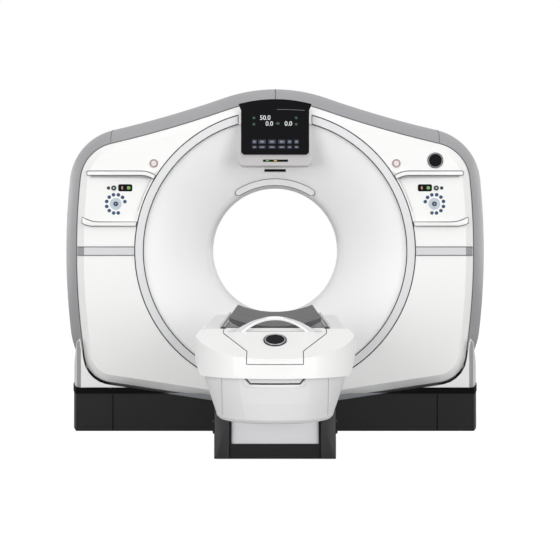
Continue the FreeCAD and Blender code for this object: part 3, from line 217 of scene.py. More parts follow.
def seam_edge(edge):
    """An outer edge of a side cover's upper end, where it meets the top covers."""
    middle = (edge.verts[0].co + edge.verts[1].co) / 2
    if middle.z < SHOULDER or abs(middle.y) > JOINT_DEPTH - 0.0005 or len(edge.link_faces) != 2:
        return False
    outward = Vector((middle.x, 0, middle.z - ISO)).normalized()
    facing = sorted(face.normal.dot(outward) for face in edge.link_faces)
    return edge.calc_face_angle(0) > 1.0 and facing[1] > 0.5 and facing[0] < 0.5


def bead(name, points, radius, body, material, closed=False):
    """A round bead through a row of points."""
    deselect()
    bpy.ops.mesh.primitive_circle_add(vertices=len(points), radius=1, fill_type="NOTHING")
    line = bpy.context.object
    for vertex, point in zip(line.data.vertices, points):
        vertex.co = point
    if not closed:
        bpy.ops.object.mode_set(mode="EDIT")
        mesh = bmesh.from_edit_mesh(line.data)
        bpy.ops.mesh.select_all(action="DESELECT")
        bpy.ops.mesh.select_mode(type="EDGE")
        for edge in mesh.edges:
            edge.select_set({vertex.index for vertex in edge.verts} == {0, len(points) - 1})
        bpy.ops.mesh.delete(type="EDGE")
        bpy.ops.object.mode_set(mode="OBJECT")
    bpy.ops.object.convert(target="CURVE")
    line.data.bevel_depth = radius
    line.data.bevel_resolution = 1
    line.data.use_fill_caps = not closed
    bpy.ops.object.convert(target="MESH")
    return settle(line, name, body, material, 60)


def touch(names, start, heading=(0, 1, 0)):
    """Where a straight line from start first meets one of the named CAD nodes."""
    hits = []
    for name in names.split():
        into = nodes[name].matrix_world.inverted()
        ray = (into @ Vector(start), into.to_3x3() @ Vector(heading))
        hit, place = nodes[name].ray_cast(*ray)[:2]
        if hit:
            hits.append(nodes[name].matrix_world @ place)
    return min(hits, key=lambda place: (place - Vector(start)).length)


edge_bead("front_joint_bead", "front_cover", lambda edge: on_rim(edge, -JOINT_DEPTH), 0.0035, grey_rubber)
edge_bead("rear_joint_bead", "rear_cover", lambda edge: on_rim(edge, JOINT_DEPTH), 0.0035, grey_rubber)
for word in ("left", "right"):
    edge_bead("corner_joint_bead_" + word, "side_cover_" + word, seam_edge, 0.0014, black_rubber)
crown = [touch("top_covers", (0.002, -0.424 + 0.053 * step, 3), (0, 0, -1)) for step in range(17)]
bead("crown_joint_bead", crown, 0.002, "gantry", black_rubber)


# ---- Front ring, funnels and scan window -----------------------------------------------------
# The ring is a satin grey moulding let into the front cover, with a dark gasket in the groove on
# each side. Each funnel is one smooth satin shell, over which the light falls off softly, and a
# thin milky polyester film closes the scan plane between them.

ring_moulding = moulded("pale_grey_moulding", "E6E6E7", "E0E0E2", 0.4, 2.0, 0.04)
funnel_moulding = moulded("white_funnel_moulding", "FAFAFA", "F5F5F5", 0.4, 2.5, 0.04)
window_film = moulded("translucent_polyester_film", "D8D8D4", "D0D0CC", 0.5, 3.0, 0.02)
crescent_grey = moulded("light_grey_moulding", "FAFAFA", "F5F5F6", 0.4, 2.0, 0.04)
finish_nodes(ring_moulding, ["front_ring"])
finish_nodes(crescent_grey, ["bore_trim"])
finish_nodes(funnel_moulding, ["front_funnel", "rear_funnel", "bore_liners"])
finish_nodes(window_film, ["scan_window"])
GROOVE_FLOOR = -0.4545
GASKET = 0.0029
RING_GROOVES = (("outer", 0.7345), ("inner", 0.6895))
RING_END = 0.1925

for word, radius in RING_GROOVES:
    deselect()
    bpy.ops.mesh.primitive_circle_add(vertices=192, radius=radius, fill_type="NOTHING",
                                      location=(0, GROOVE_FLOOR, ISO), rotation=(math.pi / 2, 0, 0))
    gasket = bpy.context.object
    bpy.ops.object.convert(target="CURVE")
    gasket.data.bevel_depth = GASKET
    gasket.data.bevel_resolution = 1
    bpy.ops.object.convert(target="MESH")
    settle(gasket, "ring_%s_gasket" % word, "gantry", black_rubber, 60)
for side, word in ((-1, "left"), (1, "right")):
    end = [(side * RING_END, GROOVE_FLOOR - 0.004, ISO + z) for z in (0.6655, 0.685, 0.7045)]
    bead("ring_end_gasket_" + word, end, 0.002, "gantry", black_rubber)


def cut_out(name, points, y, thick, rounding, body, material):
    """A flat piece cut to an outline of (x, z) points, its front face at y - thick."""
    deselect()
    bpy.ops.mesh.primitive_circle_add(vertices=len(points), radius=1, fill_type="NGON")
    piece = bpy.context.object
    for vertex, (x, z) in zip(piece.data.vertices, points):
        vertex.co = (x, y, z)
    bpy.ops.object.mode_set(mode="EDIT")
    bpy.ops.mesh.select_all(action="SELECT")
    bpy.ops.mesh.extrude_region_move(TRANSFORM_OT_translate={"value": (0, -thick, 0)})
    if rounding:
        bpy.ops.mesh.bevel(offset=rounding, segments=2)
    bpy.ops.mesh.select_all(action="SELECT")
    bpy.ops.mesh.normals_make_consistent(inside=False)
    bpy.ops.object.mode_set(mode="OBJECT")
    return settle(piece, name, body, material)


LAND = ((0.172, 0.687), (0.1915, 0.687), (0.1915, 0.7375), (0.172, 0.7375))
LAND_BACK = -0.4485
for side, word in ((-1, "left"), (1, "right")):
    corners = [(side * x, ISO + math.sqrt(radius * radius - x * x)) for x, radius in LAND]
    cut_out("ring_end_land_" + word, corners, LAND_BACK, 0.0105, 0, "gantry", white_gelcoat)


def polar(radius, turn, y):
    """A point at a radius round the bore, turned from the top."""
    return (radius * math.sin(math.radians(turn)), y, ISO + radius * math.cos(math.radians(turn)))


BORE = 0.351
BORE_MOUTH = -0.2075
FUNNEL_SLOPE = 0.919
LINER_END = 0.150


def on_crescent(radius, turn):
    """A point on the sloping face of the funnel near the bore."""
    return polar(radius, turn, BORE_MOUTH - (radius - BORE) * FUNNEL_SLOPE)


turns = [-32.5 + 2.5 * step for step in range(27)]
outline = [on_crescent(0.3865, turn) for turn in turns]
outline += [on_crescent(0.382, 34.2), on_crescent(0.373, 34.9), on_crescent(0.362, 34.9)]
outline += [on_crescent(0.3525, turn) for turn in reversed(turns)]
outline += [on_crescent(0.362, -34.9), on_crescent(0.373, -34.9), on_crescent(0.382, -34.2)]
bead("crescent_gasket", outline, 0.0021, "gantry", grey_rubber, closed=True)
for word, y in (("front", -LINER_END), ("rear", LINER_END)):
    circle = [polar(0.3508, 3 * step, y) for step in range(120)]
    bead("bore_edge_bead_" + word, circle, 0.0014, "gantry", grey_rubber, closed=True)


# ---- Display ---------------------------------------------------------------------------------
# A dark sheet of tinted acrylic, glued into a pale hood that is screwed to the funnel. Its face is
# coated against glare, so it looks deep and even. The figures are lit from behind, and the two
# rows of keys below them are printed membranes.

tinted_acrylic = moulded("tinted_acrylic", "1B1B1D", "171719", 0.22, 6.0, 0.01, specular=0.01)
hood_moulding = moulded("warm_grey_moulding", "C6C4C4", "BFBDBD", 0.4, 2.0, 0.04)
finish_nodes(tinted_acrylic, ["display_glass"])
finish_nodes(hood_moulding, ["display_housing"])


def lit(name, colour, strength):
    """A printed mark lit from behind, or a glowing painted highlight."""
    material = moulded(name, colour, colour, 0.5, 1.0, 0.01)
    shader = material.node_tree.nodes["Principled BSDF"]
    shader.inputs["Emission Color"].default_value = linear(colour)
    shader.inputs["Emission Strength"].default_value = strength
    return material


white_figures = lit("white_lit_figures", "DADDDD", 0.3)
green_marks = lit("green_lit_marks", "2C4A33", 0.12)
key_print = lit("blue_grey_key_print", "282C38", 0.04)
key_mark = lit("pale_key_mark", "737C8E", 0.1)
fold_highlight_paint = lit("painted_fold_highlight", "6F6F72", 0.15)
GLASS_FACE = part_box("display_glass")[0].y
PRINT = 0.0005
FIGURE_DEPTH = 0.0004
DIGIT_HEIGHT = 0.024
FONT_SIZE = DIGIT_HEIGHT * 1.37
FIGURES = (("height", "50.0", -0.0515, 0.680), ("offset", "0.0", -0.030, 0.6495),
           ("angle", "0.0", 0.069, 0.6495))
KEY_LINES = ((0.566, 0.021), (0.538, 0.014))
KEY_COLUMNS = ((-0.1075, 0.024), (-0.0675, 0.038), (-0.016, 0.038), (0.0345, 0.037), (0.0755, 0.024),
               (0.1115, 0.024))

for name, text, x, z in FIGURES:
    deselect()
    bpy.ops.object.text_add(location=(x, GLASS_FACE - FIGURE_DEPTH, ISO + z), rotation=(math.pi / 2, 0, 0))
    mark = bpy.context.object
    mark.data.body = text
    mark.data.size = FONT_SIZE
    mark.data.align_x = "CENTER"
    mark.data.extrude = FIGURE_DEPTH
    bpy.ops.object.convert(target="MESH")
    settle(mark, "figure_" + name, "gantry", white_figures, 0)


def plate(name, x, z, wide, high, y, thick, rounding, body, material):
    """A flat plate facing forwards with rounded corners, its face at y - thick."""
    deselect()
    bpy.ops.mesh.primitive_cube_add(size=1, location=(x, y - thick / 2, z))
    piece = bpy.context.object
    piece.dimensions = (wide, thick, high)
    bpy.ops.object.transform_apply(location=True, rotation=True, scale=True)
    bpy.ops.object.mode_set(mode="EDIT")
    mesh = bmesh.from_edit_mesh(piece.data)
    bpy.ops.mesh.select_all(action="DESELECT")
    bpy.ops.mesh.select_mode(type="EDGE")
    for edge in mesh.edges:
        along = edge.verts[0].co - edge.verts[1].co
        edge.select_set(abs(along.y) > 0.5 * along.length)
    bpy.ops.mesh.bevel(offset=rounding, segments=4)
    bpy.ops.object.mode_set(mode="OBJECT")
    return settle(piece, name, body, material)


for line, (z, high) in enumerate(KEY_LINES):
    for column, (x, wide) in enumerate(KEY_COLUMNS):
        plate("display_key_%d_%d" % (line, column), x, ISO + z, wide, high, GLASS_FACE, PRINT, 0.003,
              "gantry", key_print)
        plate("display_key_mark_%d_%d" % (line, column), x, ISO + z, wide * 0.5, high * 0.45,
              GLASS_FACE - PRINT, 0.0003, 0.0015, "gantry", key_mark)
for side, word in ((-1, "left"), (1, "right")):
    for line, z in enumerate((0.690, 0.657)):
        plate("display_mark_%s_%d" % (word, line), side * 0.110, ISO + z, 0.013, 0.012, GLASS_FACE, PRINT,
              0.004, "gantry", green_marks)
plate("display_pointer", 0.0145, ISO + 0.661, 0.018, 0.012, GLASS_FACE, PRINT, 0.004, "gantry", green_marks)
# A painted highlight: a faintly glowing grey bead along the top fold of the sheet, for a lamp's reflection
# there.
fold = [(0.010 + 0.016 * step, GLASS_FACE - 0.0001, ISO + 0.7335 - 0.00006 * step ** 2)
        for step in range(10)]
bead("display_fold_painted_highlight", fold, 0.0016, "gantry", fold_highlight_paint)


# ---- Indicator slots -------------------------------------------------------------------------
# Two narrow windows of the same tinted acrylic under the display, for the positioning light and the
# breathing lights. The upper one shows a green and a yellow light, the lower one has a moulded lip.

green_light = lit("green_indicator", "5F9A50", 0.35)
yellow_light = lit("yellow_indicator", "C2A24A", 0.4)
HOOD_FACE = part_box("display_housing")[0].y
SLOT_HEIGHT = ISO + 0.468
SLOT_SHEET = 0.0008


def laid(name, source, rows, thick, body, material):
    """A thin sheet laid on the front of CAD nodes; rows of (x, z) points, upwards, give its grid."""
    deselect()
    bpy.ops.mesh.primitive_grid_add(x_subdivisions=len(rows[0]) - 1, y_subdivisions=len(rows) - 1, size=1)
    sheet = bpy.context.object
    for vertex, (x, z) in zip(sheet.data.vertices, [place for row in rows for place in row]):
        vertex.co = touch(source, (x, -4, z))
    solid = sheet.modifiers.new("thickness", "SOLIDIFY")
    solid.thickness = thick
    solid.offset = 1
    bpy.ops.object.modifier_apply(modifier=solid.name)
    return settle(sheet, name, body, material)


def even_row(half, z):
    """Seven even (x, z) points from one side to the other at one height."""
    return [(-half + 2 * half * step / 6, z) for step in range(7)]


plate("indicator_window", 0.002, SLOT_HEIGHT, 0.131, 0.012, HOOD_FACE, SLOT_SHEET, 0.004, "gantry",
      tinted_acrylic)
for word, x, wide, light in (("green", -0.040, 0.018, green_light), ("yellow", 0.002, 0.016, yellow_light)):
    plate("indicator_" + word, x, SLOT_HEIGHT, wide, 0.006, HOOD_FACE - SLOT_SHEET, PRINT, 0.0025,
          "gantry", light)
laid("sensor_window", "front_funnel", [even_row(0.057, ISO + 0.4225), even_row(0.057, ISO + 0.4355)],
     SLOT_SHEET, "gantry", tinted_acrylic)
laid("sensor_lip", "front_funnel", [even_row(0.067, ISO + 0.406), even_row(0.061, ISO + 0.4205)],
     0.004, "gantry", funnel_moulding)


# ---- Control panels --------------------------------------------------------------------------
# White recessed panels beside the ring, each between two moulded shelves in grey gaskets. The keys
# round the dial are printed in matt blue, flush and without travel. Only the button in the middle
# and the ringed one above the dial are moulded pieces that move.

finish_nodes(white_gelcoat, ["panel_left", "panel_right"])
blue_print = moulded("blue_key_print", "2A4C6B", "24435F", 0.45, 1.0, 0.02)
pale_ring_print = moulded("pale_dial_print", "C6CFD8", "BCC6D0", 0.4, 1.0, 0.02)
dark_print = moulded("dark_key_print", "23302A", "1D2824", 0.4, 1.0, 0.02)
navy_button = moulded("navy_moulded_button", "1D3A57", "18314B", 0.35, 1.0, 0.02)
orange_mark = lit("orange_read_out", "9C7A5A", 0.25)
green_mark = lit("green_read_out", "6C9A57", 0.3)
finish_nodes(navy_button, ["dial_button_left", "dial_button_right"])
finish_nodes(dark_print, ["ring_button_left", "ring_button_right"])
PANEL_EDGE = 0.985
PANEL_FACE = -0.455
PANEL_INNER = 0.746 * 0.85
PANEL_SINK = 0.018
PANEL_FALL = PANEL_SINK / (PANEL_EDGE - PANEL_INNER)


def panel_depth(x):
    """How far back a panel's sloping floor lies at a distance from the middle."""
    return PANEL_FACE + PANEL_FALL * (PANEL_EDGE - abs(x))


def on_panel(x, z):
    """The placing that lays a flat piece, made at the origin, on a panel's sloping floor."""
    slope = math.copysign(math.atan(PANEL_FALL), x)
    return Matrix.Translation((x, panel_depth(x), z)) @ Matrix.Rotation(-slope, 4, "Z")


def disc(name, x, z, radius, inner, thick, sides, material, body="gantry"):
    """A thin printed disc, or a ring where inner is given, on a panel's floor."""
    deselect()
    bpy.ops.mesh.primitive_circle_add(vertices=sides, radius=radius, fill_type="NGON",
                                      rotation=(math.pi / 2, 0, 0))
    piece = bpy.context.object
    bpy.ops.object.transform_apply(location=True, rotation=True, scale=True)
    bpy.ops.object.mode_set(mode="EDIT")
    bpy.ops.mesh.select_all(action="SELECT")
    if inner:
        bpy.ops.mesh.inset(thickness=radius - inner)
        bpy.ops.mesh.delete(type="FACE")
        bpy.ops.mesh.select_all(action="SELECT")
    bpy.ops.mesh.extrude_region_move(TRANSFORM_OT_translate={"value": (0, -thick, 0)})
    bpy.ops.mesh.select_all(action="SELECT")
    bpy.ops.mesh.normals_make_consistent(inside=False)
    bpy.ops.object.mode_set(mode="OBJECT")
    piece.matrix_world = on_panel(x, z) @ piece.matrix_world
    return settle(piece, name, body, material)


def stroke(path, half):
    """The outline of a bar of even width along a path of (x, z) points."""
    near, far = [], []
    for index, (x, z) in enumerate(path):
        before, after = path[max(index - 1, 0)], path[min(index + 1, len(path) - 1)]
        along = Vector((after[0] - before[0], after[1] - before[1])).normalized()
        near.append((x - along.y * half, z + along.x * half))
        far.append((x + along.y * half, z - along.x * half))
    return near + far[::-1]


SHELF_TOP = stroke([(-0.981, 0.405), (-0.701, 0.405), (-0.680, 0.4035), (-0.660, 0.398), (-0.643, 0.391),
                    (-0.629, 0.383)], 0.0115)
SHELF_TOP[0:1] = [(-0.9845, 0.411), (-0.977, 0.4165)]
SHELF_LOW = [(-1.008, 0.176), (-0.985, 0.165), (-0.965, 0.157), (-0.947, 0.1525), (-0.925, 0.1504),
             (-0.7225, 0.1504), (-0.725, 0.139), (-0.727, 0.128), (-0.960, 0.128), (-0.979, 0.1316),
             (-0.995, 0.136), (-1.009, 0.143)]
# Under each upper shelf a grey strip is painted shadow: it darkens the panel where the shelf's shade falls.
SHELF_SHADOW = stroke([(-0.962, 0.3885), (-0.701, 0.3885), (-0.680, 0.387), (-0.664, 0.3825),
                     (-0.651, 0.3775)], 0.0045)
SHELF_FACE = -0.4665
PANEL_ARC = 0.7475
shelf_shadow_paint = moulded("painted_shelf_shadow", "A9A9AB", "A0A0A2", 0.7, 1.0, 0.04)
for side, word in ((1, "left"), (-1, "right")):
    for level, points, back in (("top", SHELF_TOP, -0.4555), ("low", SHELF_LOW, -0.4475)):
        places = [(side * x, ISO + z) for x, z in points]
        cut_out("shelf_moulding_%s_%s" % (level, word), places, back, back - SHELF_FACE, 0.0008,
                "gantry", white_gelcoat)
        bead("shelf_gasket_%s_%s" % (level, word), [(x, SHELF_FACE, z) for x, z in places], 0.0025,
             "gantry", grey_rubber, closed=True)
    cut_out("shelf_shadow_strip_" + word, [(side * x, ISO + z) for x, z in SHELF_SHADOW], -0.4505, 0.0135, 0,
            "gantry", shelf_shadow_paint)
    edge = []
    for step in range(10):
        angle = math.radians(16 + 2 * step)
        x = PANEL_ARC * math.cos(angle)
        edge.append((-side * x, panel_depth(x) - 0.0005, ISO + PANEL_ARC * math.sin(angle)))
    bead("panel_inner_gasket_" + word, edge, 0.0015, "gantry", grey_rubber)


DIAL_X, DIAL_Z = 0.834, ISO + 0.245
DIAL_KEYS = (14, 44, 74, 104, 134, 165, 196, 226, 257, 285)
KEY_CIRCLE = 0.049
UPPER_KEYS = ISO + 0.328
READ_OUT_X, READ_OUT_Z = 0.7845, ISO + 0.329
GLYPHS = (("orange", -0.016, orange_mark, 0.009), ("green", 0.018, green_mark, 0.017))
BUTTON_FACE = 0.0105
for side, word in ((-1, "left"), (1, "right")):
    x = side * DIAL_X
    disc("dial_plate_" + word, x, DIAL_Z, 0.031, 0.0125, 0.0006, 48, pale_ring_print)
    for number, turn in enumerate(DIAL_KEYS):
        angle = math.radians(turn if side < 0 else 180 - turn)
        disc("dial_key_%s_%d" % (word, number), x + KEY_CIRCLE * math.cos(angle),
             DIAL_Z + KEY_CIRCLE * math.sin(angle), 0.0095, 0, 0.0008, 20, blue_print)
    disc("dial_dot_" + word, x, DIAL_Z, 0.003, 0, BUTTON_FACE, 16, pale_ring_print,
         "dial_button_%s_body" % word)
    disc("ring_dot_" + word, side * 0.844, UPPER_KEYS, 0.0042, 0, BUTTON_FACE, 16, pale_ring_print,
         "ring_button_%s_body" % word)
    disc("small_key_" + word, side * 0.872, UPPER_KEYS, 0.009, 0, 0.0008, 20, dark_print)
    window = plate("read_out_" + word, 0, 0, 0.074, 0.037, 0, 0.001, 0.009, "gantry", tinted_acrylic)
    window.data.transform(on_panel(side * READ_OUT_X, READ_OUT_Z))
    for mark, offset, finish, wide in GLYPHS:
        glyph = plate("read_out_%s_%s" % (mark, word), 0, 0, wide, 0.016, -0.001, PRINT, 0.003, "gantry",
                      finish)
        glyph.data.transform(on_panel(side * READ_OUT_X + offset, READ_OUT_Z))


# ---- Push buttons ----------------------------------------------------------------------------
# Round moulded buttons through the front cover, one each side. The cap is a glossy pale pink, with
# a darker collar pressed onto it.

pink_cap = moulded("pale_pink_moulding", "EFE2E1", "EADBDA", 0.35, 1.0, 0.02, coat=0.2)
pink_collar = moulded("grey_pink_moulding", "A89898", "9F8F8F", 0.4, 1.0, 0.02)
finish_nodes(pink_cap, ["push_button_left", "push_button_right"])
PUSH_X, PUSH_Z = 0.634, ISO + 0.457
CAP_FACE = -0.4602
for side, word in ((-1, "left"), (1, "right")):
    deselect()
    bpy.ops.mesh.primitive_torus_add(major_radius=0.0182, minor_radius=0.0036, major_segments=48,
                                     minor_segments=10, location=(side * PUSH_X, CAP_FACE, PUSH_Z),
                                     rotation=(math.pi / 2, 0, 0))
    settle(bpy.context.object, "push_collar_" + word, "push_button_%s_body" % word, pink_collar)


# ---- Trim strips and badge -------------------------------------------------------------------
# A pale satin strip on each side covers the joint of the front cover, between two rubber gaskets
# and with a darker end piece. A plain black badge in a satin silver rim sits above the right panel.

strip_grey = moulded("pale_trim_strip", "D9D9DB", "D4D4D6", 0.4, 1.2, 0.02)
end_grey = moulded("mid_grey_trim_end", "A2A2A5", "9A9A9D", 0.45, 1.2, 0.02)
badge_black = moulded("black_moulded_badge", "1C1C1E", "171719", 0.5, 1.0, 0.02, specular=0.03)
badge_silver = moulded("satin_silver_trim", "A9AAAD", "9D9EA1", 0.35, 0.8, 0.02, metallic=0.5)
STRIP_LEVELS = (-0.0235, -0.008, 0.008, 0.0185)
BADGE_X, BADGE_Z = 0.838, ISO + 0.472
BADGE_FACE = -0.459
BADGE_RIM = 0.036
for side, word in ((-1, "left"), (1, "right")):
    near = [side * x for x in (0.738, 0.78, 0.83, 0.88, 0.93, 0.975, 0.995, 0.9985)]
    tail = [side * x for x in (0.9985, 1.008, 1.017, 1.026, 1.0355)]
    for piece, across, material in (("trim_strip_", near, strip_grey), ("trim_end_", tail, end_grey)):
        rows = [[(x, ISO + z) for x in sorted(across)] for z in STRIP_LEVELS]
        laid(piece + word, "front_cover", rows, 0.002, "gantry", material)
    for level, z in (("top", 0.0195), ("low", -0.0245)):
        places = [touch("front_cover", (x, -4, ISO + z)) + Vector((0, -0.0012, 0)) for x in near[:-1] + tail]
        bead("trim_gasket_%s_%s" % (level, word), places, 0.0028, "gantry", grey_rubber)
deselect()
bpy.ops.mesh.primitive_cylinder_add(vertices=64, radius=0.041, depth=0.004, rotation=(math.pi / 2, 0, 0),
                                    location=(BADGE_X, BADGE_FACE + 0.002, BADGE_Z))
settle(bpy.context.object, "round_badge", "gantry", badge_black)
angles = [step / 24 * math.pi for step in range(48)]
rim = [(BADGE_X + BADGE_RIM * math.cos(a), BADGE_FACE, BADGE_Z + BADGE_RIM * math.sin(a)) for a in angles]
bead("round_badge_ring", rim, 0.003, "gantry", badge_silver, closed=True)


# ---- Black base and leg covers ---------------------------------------------------------------
# The skirt is folded sheet steel in a textured black powder coat, which scatters the light. The
# white leg covers above stand still while the gantry tilts, with a grey edge strip each, and a matt
# foam seal closes the joint under them.

black_powder = moulded("textured_black_powder_coat", "1D1D1F", "18181A", 0.6, 1.2, 0.12, specular=0.25)
soft_seal = moulded("black_foam_seal", "101011", "0B0B0C", 0.85, 1.5, 0.1, specular=0.08)
finish_nodes(black_powder, ["plinth_front", "plinth_rear", "plinth_ends", "table_base", "link_duct"])
finish_nodes(soft_seal, ["base_seal"])
finish_nodes(white_gelcoat, ["leg_covers"])
LEG_EDGE = ((1.0125, 1.0355, 0.2285), (1.0125, 1.0355, 0.30), (1.0125, 1.0355, 0.37),
            (1.0125, 1.0355, 0.425), (1.0180, 1.0355, 0.449), (1.0198, 1.030, 0.468))
# The edge strips take the side covers' grey, which is partly painted shade, and darken the white chamfer.
for side, word in ((-1, "left"), (1, "right")):
    rows = [[(x, z) for x in sorted((side * low, side * (low + high) / 2, side * high))]
            for low, high, z in LEG_EDGE]
    laid("leg_edge_strip_" + word, "leg_covers", rows, 0.001, "base", grey_paint_and_painted_shade)
    joint = [(side * 0.8455, -0.4803, z) for z in (0.004, 0.10, 0.192)]
    bead("plinth_joint_" + word, joint, 0.0024, "base", soft_seal)


# ---- Steelwork inside ------------------------------------------------------------------------
# Welded and primed plate for the frames, ground steel for bearings and shafts, cast aluminium
# for the tube and detector cases, and a turned brass slip ring. All of it is behind the covers.

primer = moulded("grey_primer_on_steel", "8A8D92", "7E8186", 0.5, 2.0, 0.08)
ground_steel = moulded("ground_steel", "A9ABAD", "9C9EA1", 0.3, 0.6, 0.02, metallic=1.0)
cast_alloy = moulded("cast_aluminium", "B4B6B8", "A6A8AA", 0.45, 1.5, 0.1, metallic=1.0)
motor_black = moulded("black_motor_enamel", "2A2D31", "222529", 0.4, 1.5, 0.05)
turned_brass = moulded("turned_brass", "C9A65B", "B8954B", 0.25, 0.5, 0.02, metallic=1.0)
phenolic = moulded("brown_phenolic_board", "4A3A2A", "403224", 0.6, 1.0, 0.05)
finish_nodes(primer, ["tilt_frame", "base_frame", "pylons", "table_frame", "carriage",
                      "lift_column_lower", "lift_column_middle", "lift_column_upper", "rotor_drum"])
finish_nodes(ground_steel, ["trunnion_shafts", "trunnion_bearings", "bearing_outer_ring",
                            "bearing_inner_ring", "counterweight"])
finish_nodes(cast_alloy, ["xray_tube", "collimator", "hv_generator", "detector_arc"])
finish_nodes(motor_black, ["tilt_gearmotor", "drive_stator"])
finish_nodes(turned_brass, ["slip_ring"])
finish_nodes(phenolic, ["brush_block"])


# ---- Table covers ----------------------------------------------------------------------------
# Vacuum-formed sheets with a faint gloss over the table's steel tray: the broad white top with its
# rounded nose, the light grey tub with its seams and pull groove, and the white end piece with an
# oval badge, which travels with the cradle.

table_white = moulded("white_formed_sheet", "F4F4F3", "EFEFEE", 0.38, 2.5, 0.04, coat=0.1)
tub_white = moulded("white_formed_tub", "E3E3E3", "DEDEDE", 0.4, 2.5, 0.04)
finish_nodes(table_white, ["table_cover", "cradle_end_cover", "cradle_handle"])
finish_nodes(tub_white, ["table_boot"])
SEAM_X, SEAM_TOP = 0.210, ISO - 0.4985
PULL_GROOVE = [(-0.1155, -0.4985), (-0.106, -0.509), (-0.097, -0.519)]
PULL_GROOVE += [(-0.097 + 0.0194 * step, -0.519) for step in range(1, 10)]
PULL_GROOVE += [(-x, z) for x, z in reversed(PULL_GROOVE[:3])]

for side, word in ((-1, "left"), (1, "right")):
    seam = [touch("table_boot table_cover", (side * SEAM_X, -4, SEAM_TOP - 0.012 * step))
            for step in range(14)]
    bead("tub_seam_" + word, seam, 0.0009, "table_top", grey_rubber)
groove = [touch("table_boot", (x, -4, ISO + z)) for x, z in PULL_GROOVE]
bead("pull_groove", groove, 0.0035, "table_top", black_rubber)
lip = [touch("table_boot", (x * 1.09, -4, ISO + z - (0.0085 if z < -0.5 else 0.0005)))
       for x, z in PULL_GROOVE]
bead("pull_lip", lip, 0.005, "table_top", table_white)

OVAL_PLACE = (0, -2.2846, ISO - 0.358)
OVAL_LEAN = math.radians(19.25)
deselect()
bpy.ops.mesh.primitive_cylinder_add(vertices=64, radius=1, depth=1, location=OVAL_PLACE,
                                    rotation=(OVAL_LEAN, 0, 0))
oval = bpy.context.object
oval.scale = (0.0467, 0.062, 0.006)
settle(oval, "oval_badge", "cradle_slider", badge_black)
lean = Matrix.Translation(OVAL_PLACE) @ Matrix.Rotation(OVAL_LEAN, 4, "X")
angles = [step / 32 * math.pi for step in range(64)]
rim = [lean @ Vector((0.040 * math.cos(angle), 0.054 * math.sin(angle), 0.003)) for angle in angles]
bead("oval_badge_ring", rim, 0.0032, "cradle_slider", badge_silver, closed=True)


# ---- Cradle ----------------------------------------------------------------------------------
# A long hollow board of carbon-fibre laminate under a matt dark grey wear film, which hides the
# weave. It slides between two anodised aluminium rails with rubber caps. At its foot are the white
# grip, with a grey web beside each of its feet, and a lip over the end piece. The webs' grey is
# partly painted shade, for the shade on the grip's sloping outer sides.

cradle_film = moulded("grey_film_on_carbon_fibre", "434345", "3E3E40", 0.55, 2.0, 0.05)
rail_alloy = moulded("satin_anodised_aluminium", "C9CACC", "BFC0C2", 0.35, 0.6, 0.02, metallic=0.6)
web_grey_and_painted_shade = moulded("light_grey_web_and_painted_shade", "CFCFD2", "C8C8CB", 0.42, 1.6, 0.04)
finish_nodes(cradle_film, ["cradle"])
finish_nodes(rail_alloy, ["side_rails"])
GRIP_MIDDLE = ISO - 0.462
WEB_OUTER = ((10, 0.1945), (17, 0.196), (23, 0.198), (30, 0.2005), (36, 0.203), (42, 0.207), (47, 0.2105),
             (51, 0.2115))
WEB_INNER = 0.1915
RAIL_X, RAIL_Z = 0.2115, ISO - 0.320
RAIL_END = -2.158
for side, word in ((-1, "left"), (1, "right")):
    plate("rail_cap_" + word, side * RAIL_X, RAIL_Z, 0.019, 0.020, RAIL_END, 0.008, 0.004, "table_top",
          black_rubber)
# Each web's light grey is partly painted shade, for the shade on the grip's sloping outer side.
for side, word in ((-1, "left"), (1, "right")):
    outline = WEB_OUTER + tuple((turn, WEB_INNER) for turn, radius in reversed(WEB_OUTER))
    places = [(side * radius * math.sin(math.radians(turn)),
               GRIP_MIDDLE + radius * math.cos(math.radians(turn))) for turn, radius in outline]
    cut_out("handle_web_" + word, places, -2.195, 0.010, 0, "cradle_slider", web_grey_and_painted_shade)
plate("cradle_end_lip", 0, ISO - 0.3205, 0.396, 0.009, -2.160, 0.007, 0.002, "cradle_slider", table_white)
end_line = [touch("cradle_end_cover", (-0.19 + 0.038 * step, -4, ISO - 0.3275)) for step in range(11)]
bead("cradle_end_line", end_line, 0.0009, "cradle_slider", grey_rubber)


# ---- Lifting column --------------------------------------------------------------------------
# Three nested shrouds of light grey painted sheet steel slide past each other round the lift. Satin
# black mouldings cover the fronts of the foot's two posts, with a small lug outside each.

shroud_paint = moulded("light_grey_shroud_paint", "F0F0F2", "EAEAEC", 0.4, 1.6, 0.04)
post_black = moulded("satin_black_moulding", "2C2C2E", "272729", 0.5, 1.2, 0.06)
finish_nodes(shroud_paint, ["shroud_lower", "shroud_middle", "shroud_upper"])
POST = ((0.2065, 0.002), (0.262, 0.002), (0.270, 0.0055), (0.2725, 0.014), (0.2725, 0.2105),
        (0.2065, 0.2105))
POST_FACE = -1.515
for side, word in ((-1, "left"), (1, "right")):
    cut_out("base_post_cover_" + word, [(side * x, z) for x, z in POST], POST_FACE, 0.012, 0.005, "base",
            post_black)
    plate("base_lug_" + word, side * 0.2785, 0.139, 0.009, 0.055, -1.44, 0.06, 0.004, "base", black_powder)


# ---- Floor, light and camera -----------------------------------------------------------------
# A pale seamless floor, a soft even sky, one broad lamp above and one at each corner of the room.
# The camera sees the floor and the sky as white, and metal and glass see the sky so too. The camera
# stands straight in front, at the height of the bore.

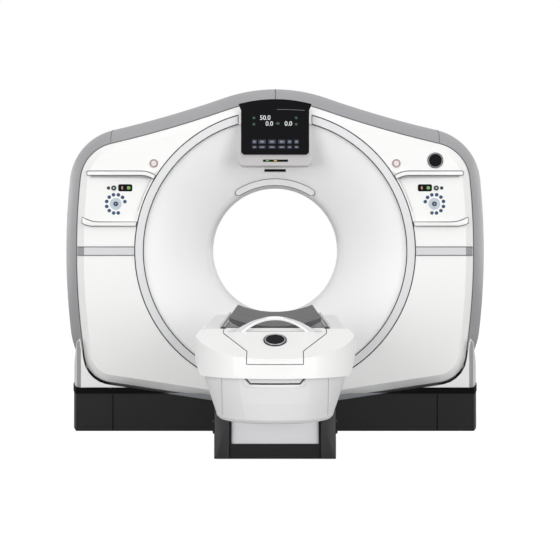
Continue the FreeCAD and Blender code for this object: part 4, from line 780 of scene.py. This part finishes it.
deselect()
bpy.ops.mesh.primitive_plane_add(size=60, location=(0, 10, -0.001))
floor = bpy.context.object
floor.name = "studio_floor"
floor_paint = bpy.data.materials.new("pale_studio_floor")
floor_paint.use_nodes = True
tree = floor_paint.node_tree
shader = tree.nodes["Principled BSDF"]
shader.inputs["Base Color"].default_value = linear("CFCFCF")
shader.inputs["Roughness"].default_value = 0.9
shader.inputs["Specular IOR Level"].default_value = 0.1
glow = add(tree, "ShaderNodeEmission", {"Color": linear("FFFFFF"), "Strength": 0.76})
both = add(tree, "ShaderNodeAddShader", links={0: shader.outputs[0], 1: glow.outputs[0]})
path = add(tree, "ShaderNodeLightPath")
seen = add(tree, "ShaderNodeMixShader",
           links={0: path.outputs["Is Camera Ray"], 1: shader.outputs[0], 2: both.outputs[0]})
tree.links.new(seen.outputs[0], tree.nodes["Material Output"].inputs["Surface"])
floor.data.materials.append(floor_paint)

world = bpy.data.worlds.new("even_sky")
scene.world = world
world.use_nodes = True
tree = world.node_tree
sky = tree.nodes["Background"]
sky.inputs["Color"].default_value = linear("FFFFFF")
sky.inputs["Strength"].default_value = 0.40
bright = add(tree, "ShaderNodeBackground", {"Color": linear("FFFFFF"), "Strength": 1.0})
path = add(tree, "ShaderNodeLightPath")
direct = add(tree, "ShaderNodeMath", operation="MAXIMUM",
             links={0: path.outputs["Is Camera Ray"], 1: path.outputs["Is Glossy Ray"]})
clear = add(tree, "ShaderNodeMath", operation="MAXIMUM",
            links={0: direct.outputs[0], 1: path.outputs["Is Transmission Ray"]})
mixed = add(tree, "ShaderNodeMixShader",
            links={0: clear.outputs[0], 1: sky.outputs[0], 2: bright.outputs[0]})
tree.links.new(mixed.outputs[0], tree.nodes["World Output"].inputs["Surface"])


def lamp(name, place, aim, size, power):
    """A broad soft lamp aimed at a point."""
    data = bpy.data.lights.new(name, "AREA")
    data.size = size
    data.energy = power
    holder = bpy.data.objects.new(name, data)
    scene.collection.objects.link(holder)
    holder.location = place
    holder.rotation_euler = (Vector(aim) - Vector(place)).to_track_quat("-Z", "Y").to_euler()


lamp("overhead_lamp", (0, -3.0, 5.5), (0, -0.9, 0.7), 4.0, 70)
for side, word in ((-1, "left"), (1, "right")):
    lamp(word + "_lamp", (side * 4.6, -7.2, 1.5), (0, -0.4, 0.9), 4.5, 246)
    lamp("rear_%s_lamp" % word, (side * 5.0, 7.0, 1.6), (0, 0.4, 0.9), 2.5, 30)

camera = bpy.data.cameras.new("photo_camera")
camera.lens = 95.2
camera.sensor_width = 36
camera.shift_x = 0.0088
camera.shift_y = -0.0524
camera.clip_end = 200
holder = bpy.data.objects.new("photo_camera", camera)
holder.location = (0, -8.2, ISO)
holder.rotation_euler = (math.pi / 2, 0, 0)
scene.collection.objects.link(holder)
scene.camera = holder
